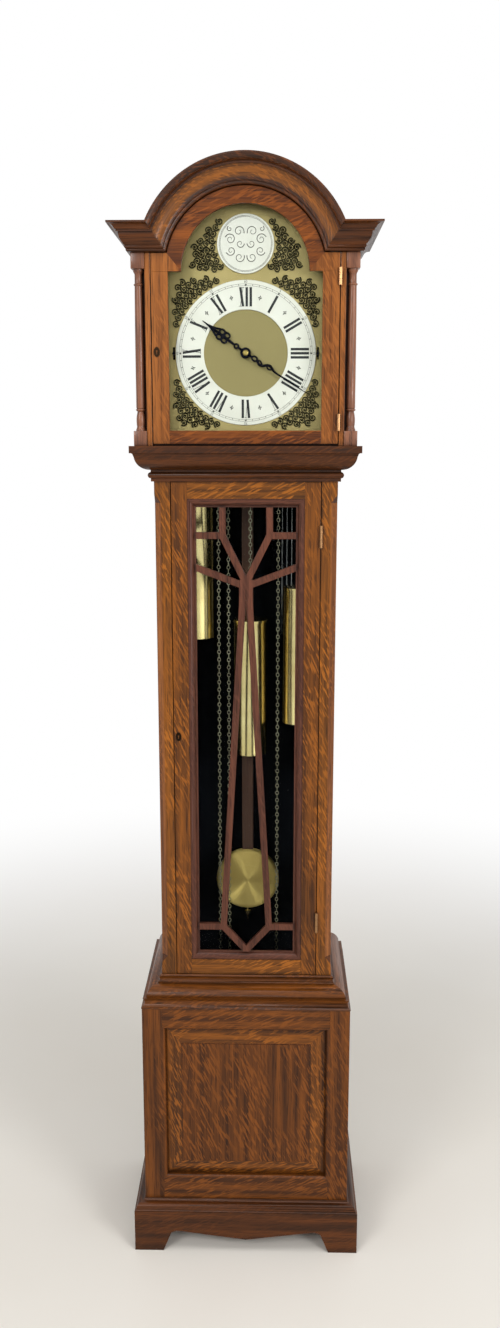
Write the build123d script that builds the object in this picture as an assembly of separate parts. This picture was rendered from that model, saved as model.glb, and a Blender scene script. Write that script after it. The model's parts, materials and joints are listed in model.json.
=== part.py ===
"""Oak longcase clock with a break-arch hood, three weights on chains and a long pendulum.

Millimetres. Z is up from the floor, the front faces -Y and X is to the viewer's right.
Each entry of NODES is one named piece, or one group of like pieces, written to parts/NODE.step.
"""

import math
import os

from build123d import *

# Case widths and depths
TRUNK_HALF = 156.0
TRUNK_FRONT_Y = -77.0
BACK_Y = 140.0
BASE_STEP = 35.0
PLINTH_BOARD = 19.0
HOOD_STEP = 29.0
BOARD = 12.0
SIDE_BOARD = 14.0
FRAME_DEPTH = 20.0
BASE_FRAME_DEPTH = 18.0

# Case heights, stacked from the floor
PLINTH_H = 77.0
PLINTH_MOULDING_H = 22.0
BASE_H = 388.5
BASE_MOULDING_H = 53.0
TRUNK_H = 901.0
THROAT_H = 59.0
HOOD_H = 305.5
CORNICE_H = 42.5

# Round bars have flat sides about this wide, and at least so many, which keeps the model light
FLAT_W = 6.0
LEAST_SIDES = 8

# Plinth feet
FOOT_W = 54.0
FOOT_SLANT = 15.0
FOOT_CHEEK_H = 38.0
APRON_START = 80.0
APRON_H = 42.5
APRON_CENTRE_H = 25.0
CARCASS_FOOT_Z = 55.0

# Base panel
BASE_STILE_W = 36.5
BASE_TOP_RAIL_H = 34.5
BASE_BOTTOM_RAIL_H = 42.0
PANEL_BEAD_W = 6.0
PANEL_BEAD_DEPTH = 10.0
PANEL_T = 7.0
PANEL_BEVEL_W = 28.0
PANEL_BEVEL_RISE = 6.0
PANEL_FIELD_RISE = 1.5

# Trunk and its door
TRUNK_STILE_W = 27.0
CHAMFER_W = 11.0
CHAMFER_STOP = 22.0
CHAMFER_SLOPE = 14.0
DOOR_GAP = 1.4
DOOR_CLEAR = 0.6
DOOR_STILE_W = 27.0
DOOR_RAIL_H = 28.5
DOOR_MOULDING_W = 14.6
DOOR_MOULDING_DEPTH = 9.5
DOOR_MOULDING_SET = 1.5
GLASS_T = 3.0
GLASS_CLEAR = 0.3

# Lattice of the trunk door
BAR_W = 11.6
BAR_DEPTH = 8.0
TOP_PANE_H = 48.0
TOP_PANE_HALF = 40.5
ARM_DROP = 82.0
SIDE_ARM_DROP = 103.0
STEM_DROP = 166.0
LOWER_BAR_RISE = 49.0
LEG_FOOT_HALF = 41.5
LEG_TOP_HALF = 6.2

# Hood
ARCH_DROP = 29.5
ARCH_INNER_R = 131.0
HOOD_POST_W = 9.0
HOOD_POST_DEPTH = 24.0
HOOD_RECESS = 22.0
HOOD_SIDE_BOARD = 13.0
HOOD_RAIL_H = 18.5
HOOD_RAIL_DEPTH = 9.0
VAULT_R = 171.0
VAULT_T = 6.0
SHOULDER_T = 8.5
SEAM = 0.2

# Hood door
HOOD_DOOR_DEPTH = 18.0
HOOD_DOOR_FOOT = 3.2
HOOD_DOOR_RAIL_H = 21.8
HOOD_DOOR_STILE_W = 27.6
HOOD_DOOR_ARCH_CLEAR = 1.0
DIAL_ARCH_R = 103.5
REBATE = 6.0
REBATE_SET = 7.0

# Columns
COLUMN_BLOCK_TOP_H = 25.0
COLUMN_BLOCK_FOOT_H = 24.5
COLUMN_R_TOP = 6.2
COLUMN_R_FOOT = 7.2
COLUMN_RING_R = 8.2
COLUMN_NECK_H = 26.0
COLUMN_VASE_H = 37.0
RING_H = 4.0
COLUMN_SIDES = 16

# Hinges and locks
HINGE_R = 3.0
HINGE_PIN_R = 1.2
HINGE_LEAF = 0.5
HINGE_LEAF_DEPTH = 15.0
HINGE_SET = 3.2
RUNNING_FIT = 0.05
KNUCKLE_GAP = 0.3
HOOD_HINGE_H = 27.0
HOOD_HINGE_END = 38.0
TRUNK_HINGE_H = 38.0
TRUNK_HINGE_END = 105.0
ESCUTCHEON_W = 10.0
ESCUTCHEON_H = 16.0
ESCUTCHEON_T = 1.0
ESCUTCHEON_SIDES = 12
KEYHOLE_R = 1.6
LOCK_T = 8.0
LOCK_W = 18.0
LOCK_H = 40.0
LOCK_CLEAR = 0.2
TRUNK_LOCK_RISE = 3.5
KEYHOLE_INSET = 8.0

# Dial
DIAL_SET = 32.0
DIAL_T = 2.5
DIAL_MARGIN = 10.0
RING_MARGIN = 8.5
RING_BAND = 47.0
RING_T = 2.0
BOSS_R = 46.5
BOSS_T = 3.5
SPANDREL_T = 3.0
SPANDREL_MARGIN = 2.5
SPANDREL_REACH = 80.0
SPANDREL_GAP = 4.0
DIAL_FOOT_R = 3.0
ARBOR_CLEAR = 1.5
LEVER_W = 3.0
LEVER_SLOT_H = 20.0
LEVER_SLOT_INSET = 5.8
LEVER_KNOB_R = 2.6
LEVER_CLEAR = 0.3

# Hands
HOUR_ANGLE = 306.0
MINUTE_ANGLE = 122.6
HOUR_HAND_L = 86.0
MINUTE_HAND_L = 118.0
HAND_T = 1.3
HOUR_HAND_LIFT = 5.0
MINUTE_HAND_LIFT = 9.2
NUT_R = 7.0
HUB_RIM = 3.2
NUT_H = 4.0

# Motion work
ARBOR_R = 2.0
CANNON_R = 3.5
HOUR_PIPE_R = 5.5
CANNON_TEETH = 12
MINUTE_TEETH = 36
MINUTE_PINION_TEETH = 8
HOUR_TEETH = 32
MOTION_CENTRES = 24.0
MINUTE_STUD_ANGLE = -45.0
TOOTH_SHARE = 0.40
GEAR_T = 4.0

# Movement
SEAT_RISE = 35.5
SEAT_T = 20.0
SEAT_FRONT_SET = 15.0
SEAT_BACK_Y = 64.0
CHAIN_SLOT = 7.5
MOVEMENT_FRONT_Y = -40.0
PLATE_T = 3.0
PLATE_SPAN = 61.0
PLATE_MARGIN = 45.0
PLATE_TOP_RISE = 86.0
PILLAR_R = 5.0
PILLAR_INSET = 10.0
PIVOT_RISE = 64.0
WHEEL_R = 23.0
WHEEL_T = 3.0
WHEEL_TEETH = 16
WHEEL_ROOT_R = 20.5
WHEEL_SET = 4.0
GREAT_WHEEL_SET = 12.0
ESCAPE_R = 17.0
ESCAPE_ROOT_R = 13.0
ANCHOR_SET = 8.0
ANCHOR_T = 4.0
CRUTCH_T = 4.0
ESCAPE_DROP = 29.0
ANCHOR_CLEAR = 3.3
ANCHOR_HUB = 4.5
PALLET_W = 4.0
PALLET_H = 9.0

# Weights and chains
WEIGHT_R = 31.0
WEIGHT_H = 250.0
WEIGHT_SIDE_CLEAR = 18.5
CHAIN_SHIFT = 2.5
CENTRE_CHAIN_X = 6.0
WEIGHT_LINK_COUNT = {"left": 8, "centre": 19, "right": 16}
CHAIN_LINK_COUNT = {"left": 62, "centre": 72, "right": 70}
TURN_LINK_COUNT = 6
HOOK_RISE = 14.0
HOOK_R = 6.0
HOOK_HOLE_R = 3.4
HOOK_T = 2.0
HOOK_PLAY = 0.3
LINK_PITCH = 19.6
LINK_WIRE = 1.2
LINK_PLAY = 0.9
LINK_SIDE_PLAY = 0.05
SPROCKET_RISE = 49.0
SPROCKET_PLAY = 0.3
FLANGE_LIP = 3.5
FLANGE_T = 2.0
SPROCKET_ARBOR_R = 3.0

# Pendulum
PENDULUM_Y = 48.0
PENDULUM_L = 1034.0
SWING_DEG = 3.5
BOB_R = 60.0
BOB_T = 20.0
BOB_RIM_T = 5.0
BOB_CROWN_R = 6.0
ROD_W = 21.0
ROD_T = 8.0
SPRING_W = 8.0
SPRING_T = 0.4
SPRING_L = 26.0
NUT_DROP = 9.0
TAIL_L = 27.0
CRUTCH_DROP = 112.0
FORK_CLEAR = 0.3

# Chime rods and hammers
CHIME_COUNT = 5
CHIME_PITCH = 9.0
CHIME_X = 82.0
CHIME_Y = 100.0
CHIME_ROD_R = 1.6
CHIME_ROD_L = 440.0
CHIME_ROD_STEP = 14.0
CHIME_BLOCK_H = 35.0
CHIME_BLOCK_RISE = 54.0
HAMMER_ARBOR_Y = 62.0
HAMMER_ARBOR_RISE = 104.0
HAMMER_HEAD_R = 4.0
HAMMER_HEAD_L = 14.0
HAMMER_REST = 3.0
HAMMER_HEAD_DROP = 66.0

# Heights worked out from the stack
PLINTH_TOP = PLINTH_H + PLINTH_MOULDING_H
BASE_TOP = PLINTH_TOP + BASE_H
DOOR_FOOT = BASE_TOP + BASE_MOULDING_H
DOOR_HEAD = DOOR_FOOT + TRUNK_H
SHELF = DOOR_HEAD + THROAT_H
CORNICE_FOOT = SHELF + HOOD_H
CORNICE_TOP = CORNICE_FOOT + CORNICE_H
ARCH_Z = CORNICE_FOOT - ARCH_DROP
ARCH_OUTER_R = ARCH_INNER_R + CORNICE_H
SEAT_TOP = SHELF + SEAT_RISE
SEAT_FOOT = SEAT_TOP - SEAT_T
APERTURE_FOOT = SHELF + HOOD_DOOR_FOOT + HOOD_DOOR_RAIL_H
DIAL_Z = (APERTURE_FOOT + ARCH_Z) / 2
PIVOT_Z = DIAL_Z + PIVOT_RISE
SPROCKET_Z = SEAT_TOP + SPROCKET_RISE

# Widths and depths worked out from the trunk
BASE_HALF = TRUNK_HALF + BASE_STEP
HOOD_HALF = TRUNK_HALF + HOOD_STEP
TRUNK_INNER = TRUNK_HALF - SIDE_BOARD
TRUNK_BACK_Y = TRUNK_FRONT_Y + FRAME_DEPTH
BACKBOARD_Y = BACK_Y - BOARD
DOOR_OPENING = TRUNK_HALF - TRUNK_STILE_W
DOOR_HALF = DOOR_OPENING - DOOR_GAP
SIGHT_HALF = DOOR_HALF - DOOR_STILE_W - DOOR_MOULDING_W
POST_OUTER = HOOD_HALF - HOOD_RECESS
POST_INNER = POST_OUTER - HOOD_POST_W
HOOD_DOOR_HALF = POST_INNER - DOOR_GAP
APERTURE_HALF = HOOD_DOOR_HALF - HOOD_DOOR_STILE_W
DIAL_HALF = min(APERTURE_HALF, (ARCH_Z - APERTURE_FOOT) / 2)
RING_R = DIAL_HALF - RING_MARGIN
WEIGHT_SPREAD = TRUNK_INNER - WEIGHT_R - WEIGHT_SIDE_CLEAR
SPROCKET_R = LINK_PITCH / (2 * math.sin(math.pi / TURN_LINK_COUNT))

# A link is as wide as its neighbour needs to bend round the sprocket
LINK_BEND = 2 * math.pi / TURN_LINK_COUNT
LINK_TIP = LINK_PLAY / 2 + LINK_WIRE
LINK_HOLE_W = LINK_WIRE * math.cos(LINK_BEND) + 2 * (LINK_TIP * math.sin(LINK_BEND) + LINK_SIDE_PLAY)


def front_of(half):
    """Front face of a case section: every section overhangs the trunk alike in front and at the sides."""
    return TRUNK_FRONT_Y - (half - TRUNK_HALF)


HOOD_FRONT_Y = front_of(HOOD_HALF)
BASE_FRONT_Y = front_of(BASE_HALF)
DIAL_Y = HOOD_FRONT_Y + DIAL_SET
MOVEMENT_BACK_Y = MOVEMENT_FRONT_Y + 2 * PLATE_T + PLATE_SPAN
DRIVE_Y = 0.0

# Chains, each with the place of its weight strand, its sprocket and its free strand
WEIGHT_X = {
    "left": CHAIN_SHIFT - WEIGHT_SPREAD,
    "centre": CENTRE_CHAIN_X,
    "right": CHAIN_SHIFT + WEIGHT_SPREAD,
}
FREE_SIDE = {"left": 1, "centre": -1, "right": -1}
SPROCKET_X = {side: WEIGHT_X[side] + FREE_SIDE[side] * SPROCKET_R for side in WEIGHT_X}
FREE_X = {side: WEIGHT_X[side] + 2 * FREE_SIDE[side] * SPROCKET_R for side in WEIGHT_X}

NODES = {}


def node(name, *solids):
    """Keep solids as one named piece."""
    NODES[name] = list(solids)


def block(x, y, z):
    """Rectangular board between three pairs of limits."""
    limits = (x, y, z)
    middle = [(low + high) / 2 for low, high in limits]
    return Pos(*middle) * Box(*[high - low for low, high in limits])


def outline(points):
    """Closed face through points; a third value is the height of an arc that ends at that point."""
    edges = []
    for start, end in zip(points[-1:] + points[:-1], points):
        if math.dist(start[:2], end[:2]) < 1e-6:
            continue
        if len(end) == 3:
            edges.append(SagittaArc(start[:2], end[:2], end[2]))
        else:
            edges.append(Line(start[:2], end[:2]))
    return make_face(edges)


def along_x(face, limits):
    """Extrude a face drawn in (Y, Z)."""
    plane = Plane(origin=(limits[0], 0, 0), x_dir=(0, 1, 0), z_dir=(1, 0, 0))
    return extrude(plane * face, amount=limits[1] - limits[0])


def along_y(face, limits):
    """Extrude a face drawn in (X, Z)."""
    plane = Plane(origin=(0, limits[1], 0), x_dir=(1, 0, 0), z_dir=(0, -1, 0))
    return extrude(plane * face, amount=limits[1] - limits[0])


def along_z(face, limits):
    """Extrude a face drawn in (X, Y)."""
    return extrude(Pos(0, 0, limits[0]) * face, amount=limits[1] - limits[0])


def side_count(radius):
    """Number of flat sides that stand in for a round."""
    return max(LEAST_SIDES, 4 * round(math.pi * radius / (2 * FLAT_W)))


def disc(radius):
    """Round section of a bar, with its flat sides inside the true circle."""
    return RegularPolygon(radius, side_count(radius))


def hole(radius):
    """Round section of a bore, with its flat sides outside the true circle."""
    return RegularPolygon(radius, side_count(radius), major_radius=False)


def turned_bar(profile, sides):
    """Turned piece about Z through points as (radius, height), closed from flat facets."""
    turns = [2 * math.pi * step / sides for step in range(sides)]
    rings = [[(r * math.cos(turn), r * math.sin(turn), z) for turn in turns] for r, z in profile]
    facets = [rings[0], rings[-1]]
    for low, high in zip(rings, rings[1:]):
        facets += [[low[step - 1], low[step], high[step], high[step - 1]] for step in range(sides)]
    return Solid(Shell([Face(Wire.make_polygon(facet)) for facet in facets]))


def rod_y(radius, x, limits, z):
    """Round bar along Y."""
    return along_y(Pos(x, z) * disc(radius), limits)


def rod_z(radius, x, y, limits):
    """Round bar along Z."""
    return along_z(Pos(x, y) * disc(radius), limits)


def bore_y(radius, x, limits, z):
    """Round bore along Y."""
    return along_y(Pos(x, z) * hole(radius), limits)


def pair(solid):
    """A solid and its mirror image across the clock's middle."""
    return [solid, mirror(solid, about=Plane.YZ)]


def mitred_moulding(profile, half, front_tail=0.0, side_tail=0.0):
    """Front run and two returns of a moulding, with profile points as (overhang, height, arc).

    The tails reach behind the case face to what carries the moulding.
    """
    front_y = front_of(half)
    reach = max(point[0] for point in profile)
    low, high = profile[0][1], profile[-1][1]

    front_points = [(front_y - p[0], p[1], *[-arc for arc in p[2:]]) for p in profile]
    front_points += [(front_y + front_tail, high), (front_y + front_tail, low)]
    front_plan = [
        (-half, front_y + front_tail),
        (half, front_y + front_tail),
        (half, front_y),
        (half + reach, front_y - reach),
        (-half - reach, front_y - reach),
        (-half, front_y),
    ]
    side_points = [(half + p[0], *p[1:]) for p in profile]
    side_points += [(half - side_tail, high), (half - side_tail, low)]
    side_plan = [
        (half - side_tail, front_y + front_tail),
        (half, front_y + front_tail),
        (half, front_y),
        (half + reach, front_y - reach),
        (half + reach, BACK_Y),
        (half - side_tail, BACK_Y),
    ]
    span = half + reach
    front = along_x(outline(front_points), (-span, span)) & along_z(outline(front_plan), (low, high))
    side = along_y(outline(side_points), (front_y - reach, BACK_Y))
    side &= along_z(outline(side_plan), (low, high))
    return [front, *pair(side)]


def mitred_frame(profile, half, low, high):
    """Four mitred strips inside an opening, with profile points as (inset, Y, arc)."""
    inset = max(point[0] for point in profile)
    depths = [point[1] for point in profile]
    limits = (min(depths), max(depths))
    side_face = outline([(half - p[0], p[1], *[-arc for arc in p[2:]]) for p in profile])
    side_plan = [(half, low), (half, high), (half - inset, high - inset), (half - inset, low + inset)]
    side = along_z(side_face, (low, high)) & along_y(outline(side_plan), limits)
    top_face = outline([(p[1], high - p[0], *p[2:]) for p in profile])
    top_plan = [(-half, high), (half, high), (half - inset, high - inset), (inset - half, high - inset)]
    top = along_x(top_face, (-half, half)) & along_y(outline(top_plan), limits)
    middle = (low + high) / 2
    return [*pair(side), top, mirror(top, about=Plane.XY.offset(middle))]


def toothed_face(teeth, centres_share, phase_deg):
    """Gear outline with trapezium teeth; the first tooth points along phase_deg in (X, Z)."""
    module = 2 * centres_share / teeth
    tip_r = centres_share + 0.85 * module
    root_r = centres_share - 1.1 * module
    points = []
    for tooth in range(teeth):
        for radius, share in ((root_r, -1.3), (tip_r, -0.5), (tip_r, 0.5), (root_r, 1.3)):
            angle = math.radians(phase_deg + (tooth + share * TOOTH_SHARE / 2 * 1.15) * 360 / teeth)
            points.append((radius * math.cos(angle), radius * math.sin(angle)))
    return outline(points)


def ratchet_face(teeth, tip_r, root_r):
    """Wheel outline with pointed teeth."""
    points = []
    for step in range(2 * teeth):
        radius = root_r if step % 2 else tip_r
        angle = math.pi * step / teeth
        points.append((radius * math.cos(angle), radius * math.sin(angle)))
    return outline(points)


def build_plinth():
    """Boards with bracket feet, and the moulding that covers their top edge."""
    half = BASE_HALF + PLINTH_BOARD
    front_y = front_of(half)
    foot = half - FOOT_W
    right = [
        (half, PLINTH_H),
        (half, 0),
        (foot, 0),
        (foot - FOOT_SLANT, FOOT_CHEEK_H),
        (half - APRON_START, APRON_H),
    ]
    left = [(-x, z) for x, z in reversed(right)]
    front = along_y(outline([*right, (0, APRON_CENTRE_H), *left]), (front_y, BASE_FRONT_Y))
    front_foot = front_y + FOOT_W
    rear_foot = BACK_Y - FOOT_W
    side_points = [
        (BASE_FRONT_Y, PLINTH_H),
        (BASE_FRONT_Y, 0),
        (front_foot, 0),
        (front_foot + FOOT_SLANT, FOOT_CHEEK_H),
        (front_y + APRON_START, APRON_H),
        (BACK_Y - APRON_START, APRON_H),
        (rear_foot - FOOT_SLANT, FOOT_CHEEK_H),
        (rear_foot, 0),
        (BACK_Y, 0),
        (BACK_Y, PLINTH_H),
    ]
    side = along_x(outline(side_points), (BASE_HALF, half))
    node("plinth_boards", front, *pair(side))
    step = PLINTH_MOULDING_H
    profile = [
        (PLINTH_BOARD, PLINTH_H),
        (PLINTH_BOARD, PLINTH_H + 0.22 * step),
        (PLINTH_BOARD - 3, PLINTH_H + 0.40 * step, 1.2),
        (PLINTH_BOARD - 4, PLINTH_H + 0.48 * step),
        (8, PLINTH_H + 0.80 * step, -2.0),
        (4, PLINTH_H + 0.80 * step),
        (0.8, PLINTH_TOP, 0.8),
    ]
    node("plinth_moulding", *mitred_moulding(profile, BASE_HALF))


def build_base():
    """Panelled box below the trunk."""
    depth = (BASE_FRONT_Y, BASE_FRONT_Y + BASE_FRAME_DEPTH)
    opening = BASE_HALF - BASE_STILE_W
    low = PLINTH_TOP + BASE_BOTTOM_RAIL_H
    high = BASE_TOP - BASE_TOP_RAIL_H
    stile = block((opening, BASE_HALF), depth, (CARCASS_FOOT_Z, BASE_TOP))
    top_rail = block((-opening, opening), depth, (high, BASE_TOP))
    bottom_rail = block((-opening, opening), depth, (CARCASS_FOOT_Z, low))
    node("base_front_frame", *pair(stile), top_rail, bottom_rail)

    panel_y = BASE_FRONT_Y + PANEL_BEAD_DEPTH
    bead = [
        (0, panel_y),
        (0, BASE_FRONT_Y),
        (0.4 * PANEL_BEAD_W, BASE_FRONT_Y),
        (PANEL_BEAD_W, BASE_FRONT_Y + 0.5 * PANEL_BEAD_DEPTH, -1.0),
        (PANEL_BEAD_W, panel_y),
    ]
    node("base_panel_bead", *mitred_frame(bead, opening, low, high))

    bevel_y = panel_y - PANEL_BEVEL_RISE
    bevel_out = PANEL_BEAD_W + SEAM
    bevel_in = bevel_out + PANEL_BEVEL_W
    across = [(-opening + bevel_out, panel_y), (opening - bevel_out, panel_y)]
    across += [(opening - bevel_in, bevel_y), (-opening + bevel_in, bevel_y)]
    upright = [(panel_y, low + bevel_out), (panel_y, high - bevel_out)]
    upright += [(bevel_y, high - bevel_in), (bevel_y, low + bevel_in)]
    bevel = along_z(outline(across), (low, high)) & along_x(outline(upright), (-opening, opening))
    back = block((-opening, opening), (panel_y, panel_y + PANEL_T), (low, high))
    field_in = bevel_in + PANEL_FIELD_RISE
    field_y = (bevel_y - PANEL_FIELD_RISE, bevel_y)
    field = block((field_in - opening, opening - field_in), field_y, (low + field_in, high - field_in))
    node("base_panel", back + bevel + field)

    inner = BASE_HALF - BOARD
    side = block((inner, BASE_HALF), (depth[1], BACKBOARD_Y), (CARCASS_FOOT_Z, BASE_TOP))
    floor = block((-inner, inner), (depth[1], BACKBOARD_Y), (PLINTH_TOP, PLINTH_TOP + BOARD))
    glue_block = block((TRUNK_HALF, inner), (TRUNK_BACK_Y, BACKBOARD_Y), (BASE_TOP - 2 * BOARD, BASE_TOP))
    node("base_carcass", *pair(side), floor, *pair(glue_block))

    drop = BASE_MOULDING_H
    profile = [
        (BASE_STEP, BASE_TOP),
        (BASE_STEP + 1, BASE_TOP + 0.04 * drop),
        (BASE_STEP - 2, BASE_TOP + 0.36 * drop, 4.5),
        (BASE_STEP - 8, BASE_TOP + 0.36 * drop),
        (BASE_STEP - 8, BASE_TOP + 0.44 * drop),
        (7, BASE_TOP + 0.72 * drop, -4.0),
        (7, BASE_TOP + 0.76 * drop),
        (7, DOOR_FOOT - 0.04 * drop, 3.0),
        (4, DOOR_FOOT - 0.04 * drop),
        (2, DOOR_FOOT),
    ]
    node("base_top_moulding", *mitred_moulding(profile, TRUNK_HALF))


def build_trunk():
    """Front frame, sides, backboard and the throat moulding under the hood."""
    depth = (TRUNK_FRONT_Y, TRUNK_BACK_Y)
    stile = block((DOOR_OPENING, TRUNK_HALF), depth, (BASE_TOP, SHELF))
    corner = Plane(
        origin=(TRUNK_HALF, TRUNK_FRONT_Y, 0),
        x_dir=(-1, 1, 0),
        z_dir=(1, 1, 0),
    )
    bite = CHAMFER_W / math.sqrt(2)
    low = DOOR_FOOT + CHAMFER_STOP
    high = DOOR_HEAD - CHAMFER_STOP
    cut_points = [(0, low), (bite, low + CHAMFER_SLOPE), (bite, high - CHAMFER_SLOPE), (0, high)]
    stile -= extrude(corner * outline(cut_points), amount=CHAMFER_W, both=True)
    bottom_rail = block((-DOOR_OPENING, DOOR_OPENING), depth, (BASE_TOP, DOOR_FOOT))
    top_rail = block((-DOOR_OPENING, DOOR_OPENING), depth, (DOOR_HEAD, SHELF))
    node("trunk_front_frame", *pair(stile), bottom_rail, top_rail)

    foot = BASE_TOP - 2 * BOARD
    side = block((TRUNK_INNER, TRUNK_HALF), (TRUNK_BACK_Y, BACKBOARD_Y), (foot, SEAT_FOOT))
    node("trunk_sides", *pair(side))
    upper = Pos(0, (BASE_TOP + ARCH_Z) / 2) * Rectangle(2 * TRUNK_HALF, ARCH_Z - BASE_TOP)
    upper += Pos(0, ARCH_Z) * Circle(TRUNK_HALF)
    trunk_back = along_y(upper, (BACKBOARD_Y, BACK_Y))
    base_back = block((-BASE_HALF, BASE_HALF), (BACKBOARD_Y, BACK_Y), (CARCASS_FOOT_Z, BASE_TOP))
    node("backboard", trunk_back, base_back)

    reach = HOOD_STEP + 8
    profile = [
        (4.6, DOOR_HEAD),
        (4.6, DOOR_HEAD + 0.09 * THROAT_H),
        (4.8, DOOR_HEAD + 0.27 * THROAT_H, -4.6),
        (4.8, DOOR_HEAD + 0.33 * THROAT_H),
        (reach - 7, DOOR_HEAD + 0.70 * THROAT_H, -6.5),
        (reach - 6, DOOR_HEAD + 0.73 * THROAT_H),
        (reach, DOOR_HEAD + 0.80 * THROAT_H, 1.8),
        (reach, SHELF),
    ]
    node("throat_moulding", *mitred_moulding(profile, TRUNK_HALF))


def hinge(axis_x, axis_y, middle, height, post_x, door_x):
    """Butt hinge on the right: the fixed leaf with its pin, and the door's leaf."""
    third = height / 3
    low, high = middle - height / 2, middle + height / 2
    door_low = middle - third / 2 + KNUCKLE_GAP
    door_high = middle + third / 2 - KNUCKLE_GAP
    leaf_y = (axis_y + HINGE_R + 2 * KNUCKLE_GAP, axis_y + HINGE_R + HINGE_LEAF_DEPTH)
    tab_y = (axis_y, leaf_y[0])
    fixed = block((post_x - HINGE_LEAF, post_x), leaf_y, (low, high))
    for knuckle in ((low, middle - third / 2), (middle + third / 2, high)):
        fixed += rod_z(HINGE_R, axis_x, axis_y, knuckle)
        fixed += block((post_x - HINGE_LEAF, post_x), tab_y, knuckle)
    fixed += rod_z(HINGE_PIN_R, axis_x, axis_y, (low, high))
    swinging = block((door_x, door_x + HINGE_LEAF), leaf_y, (low, high))
    swinging += rod_z(HINGE_R, axis_x, axis_y, (door_low, door_high))
    swinging += block((door_x, door_x + HINGE_LEAF), tab_y, (door_low, door_high))
    swinging -= along_z(Pos(axis_x, axis_y) * hole(HINGE_PIN_R + RUNNING_FIT), (low, high))
    return fixed, swinging


def escutcheon(x, face_y, z):
    """Oval keyhole plate."""
    turns = [2 * math.pi * step / ESCUTCHEON_SIDES for step in range(ESCUTCHEON_SIDES)]
    oval = [(ESCUTCHEON_W / 2 * math.cos(turn), ESCUTCHEON_H / 2 * math.sin(turn)) for turn in turns]
    plate = Pos(x, z) * outline(oval)
    plate -= Pos(x, z + KEYHOLE_R) * disc(KEYHOLE_R)
    plate -= Pos(x, z - KEYHOLE_R) * Rectangle(KEYHOLE_R, 3 * KEYHOLE_R)
    return along_y(plate, (face_y - ESCUTCHEON_T, face_y))


def mortise(edge_x, face_y, depth, z, clear):
    """Room for a lock in a door's left edge, or the lock itself with a negative clearance."""
    middle = face_y + depth / 2
    half_t = LOCK_T / 2 + clear
    return block(
        (edge_x - max(clear, 0), edge_x + LOCK_W + clear),
        (middle - half_t, middle + half_t),
        (z - LOCK_H / 2 - clear, z + LOCK_H / 2 + clear),
    )


def lattice_face(low, high):
    """Glazing bars as one flat face: top panes, arms to a stem, long legs and a pointed foot."""
    crossbar = high - TOP_PANE_H
    lower = low + LOWER_BAR_RISE
    crotch = high - STEM_DROP
    right_lines = [
        ((TOP_PANE_HALF, high), (TOP_PANE_HALF, crossbar)),
        ((TOP_PANE_HALF, crossbar), (SIGHT_HALF, crossbar)),
        ((TOP_PANE_HALF, crossbar), (0, crossbar - ARM_DROP)),
        ((SIGHT_HALF, high - SIDE_ARM_DROP), (0, crossbar - ARM_DROP - BAR_W / 2)),
        ((LEG_TOP_HALF, crossbar - ARM_DROP), (LEG_TOP_HALF, crotch)),
        ((LEG_TOP_HALF, crotch), (LEG_FOOT_HALF, lower)),
        ((LEG_FOOT_HALF, lower), (SIGHT_HALF, lower)),
        ((LEG_FOOT_HALF, lower), (0, low + BAR_W / 4)),
    ]
    bars = Sketch()
    for start, end in right_lines:
        for side in (1, -1):
            bars += bar_face((side * start[0], start[1]), (side * end[0], end[1]))
    sight = Pos(0, (low + high) / 2) * Rectangle(2 * SIGHT_HALF, high - low)
    return bars & sight


def bar_face(start, end):
    """Straight bar with blunt ends that run half its width past its two points."""
    turn = math.degrees(math.atan2(end[1] - start[1], end[0] - start[0]))
    middle = Pos((start[0] + end[0]) / 2, (start[1] + end[1]) / 2)
    return middle * Rot(0, 0, turn) * Rectangle(math.dist(start, end) + BAR_W, BAR_W)


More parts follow.
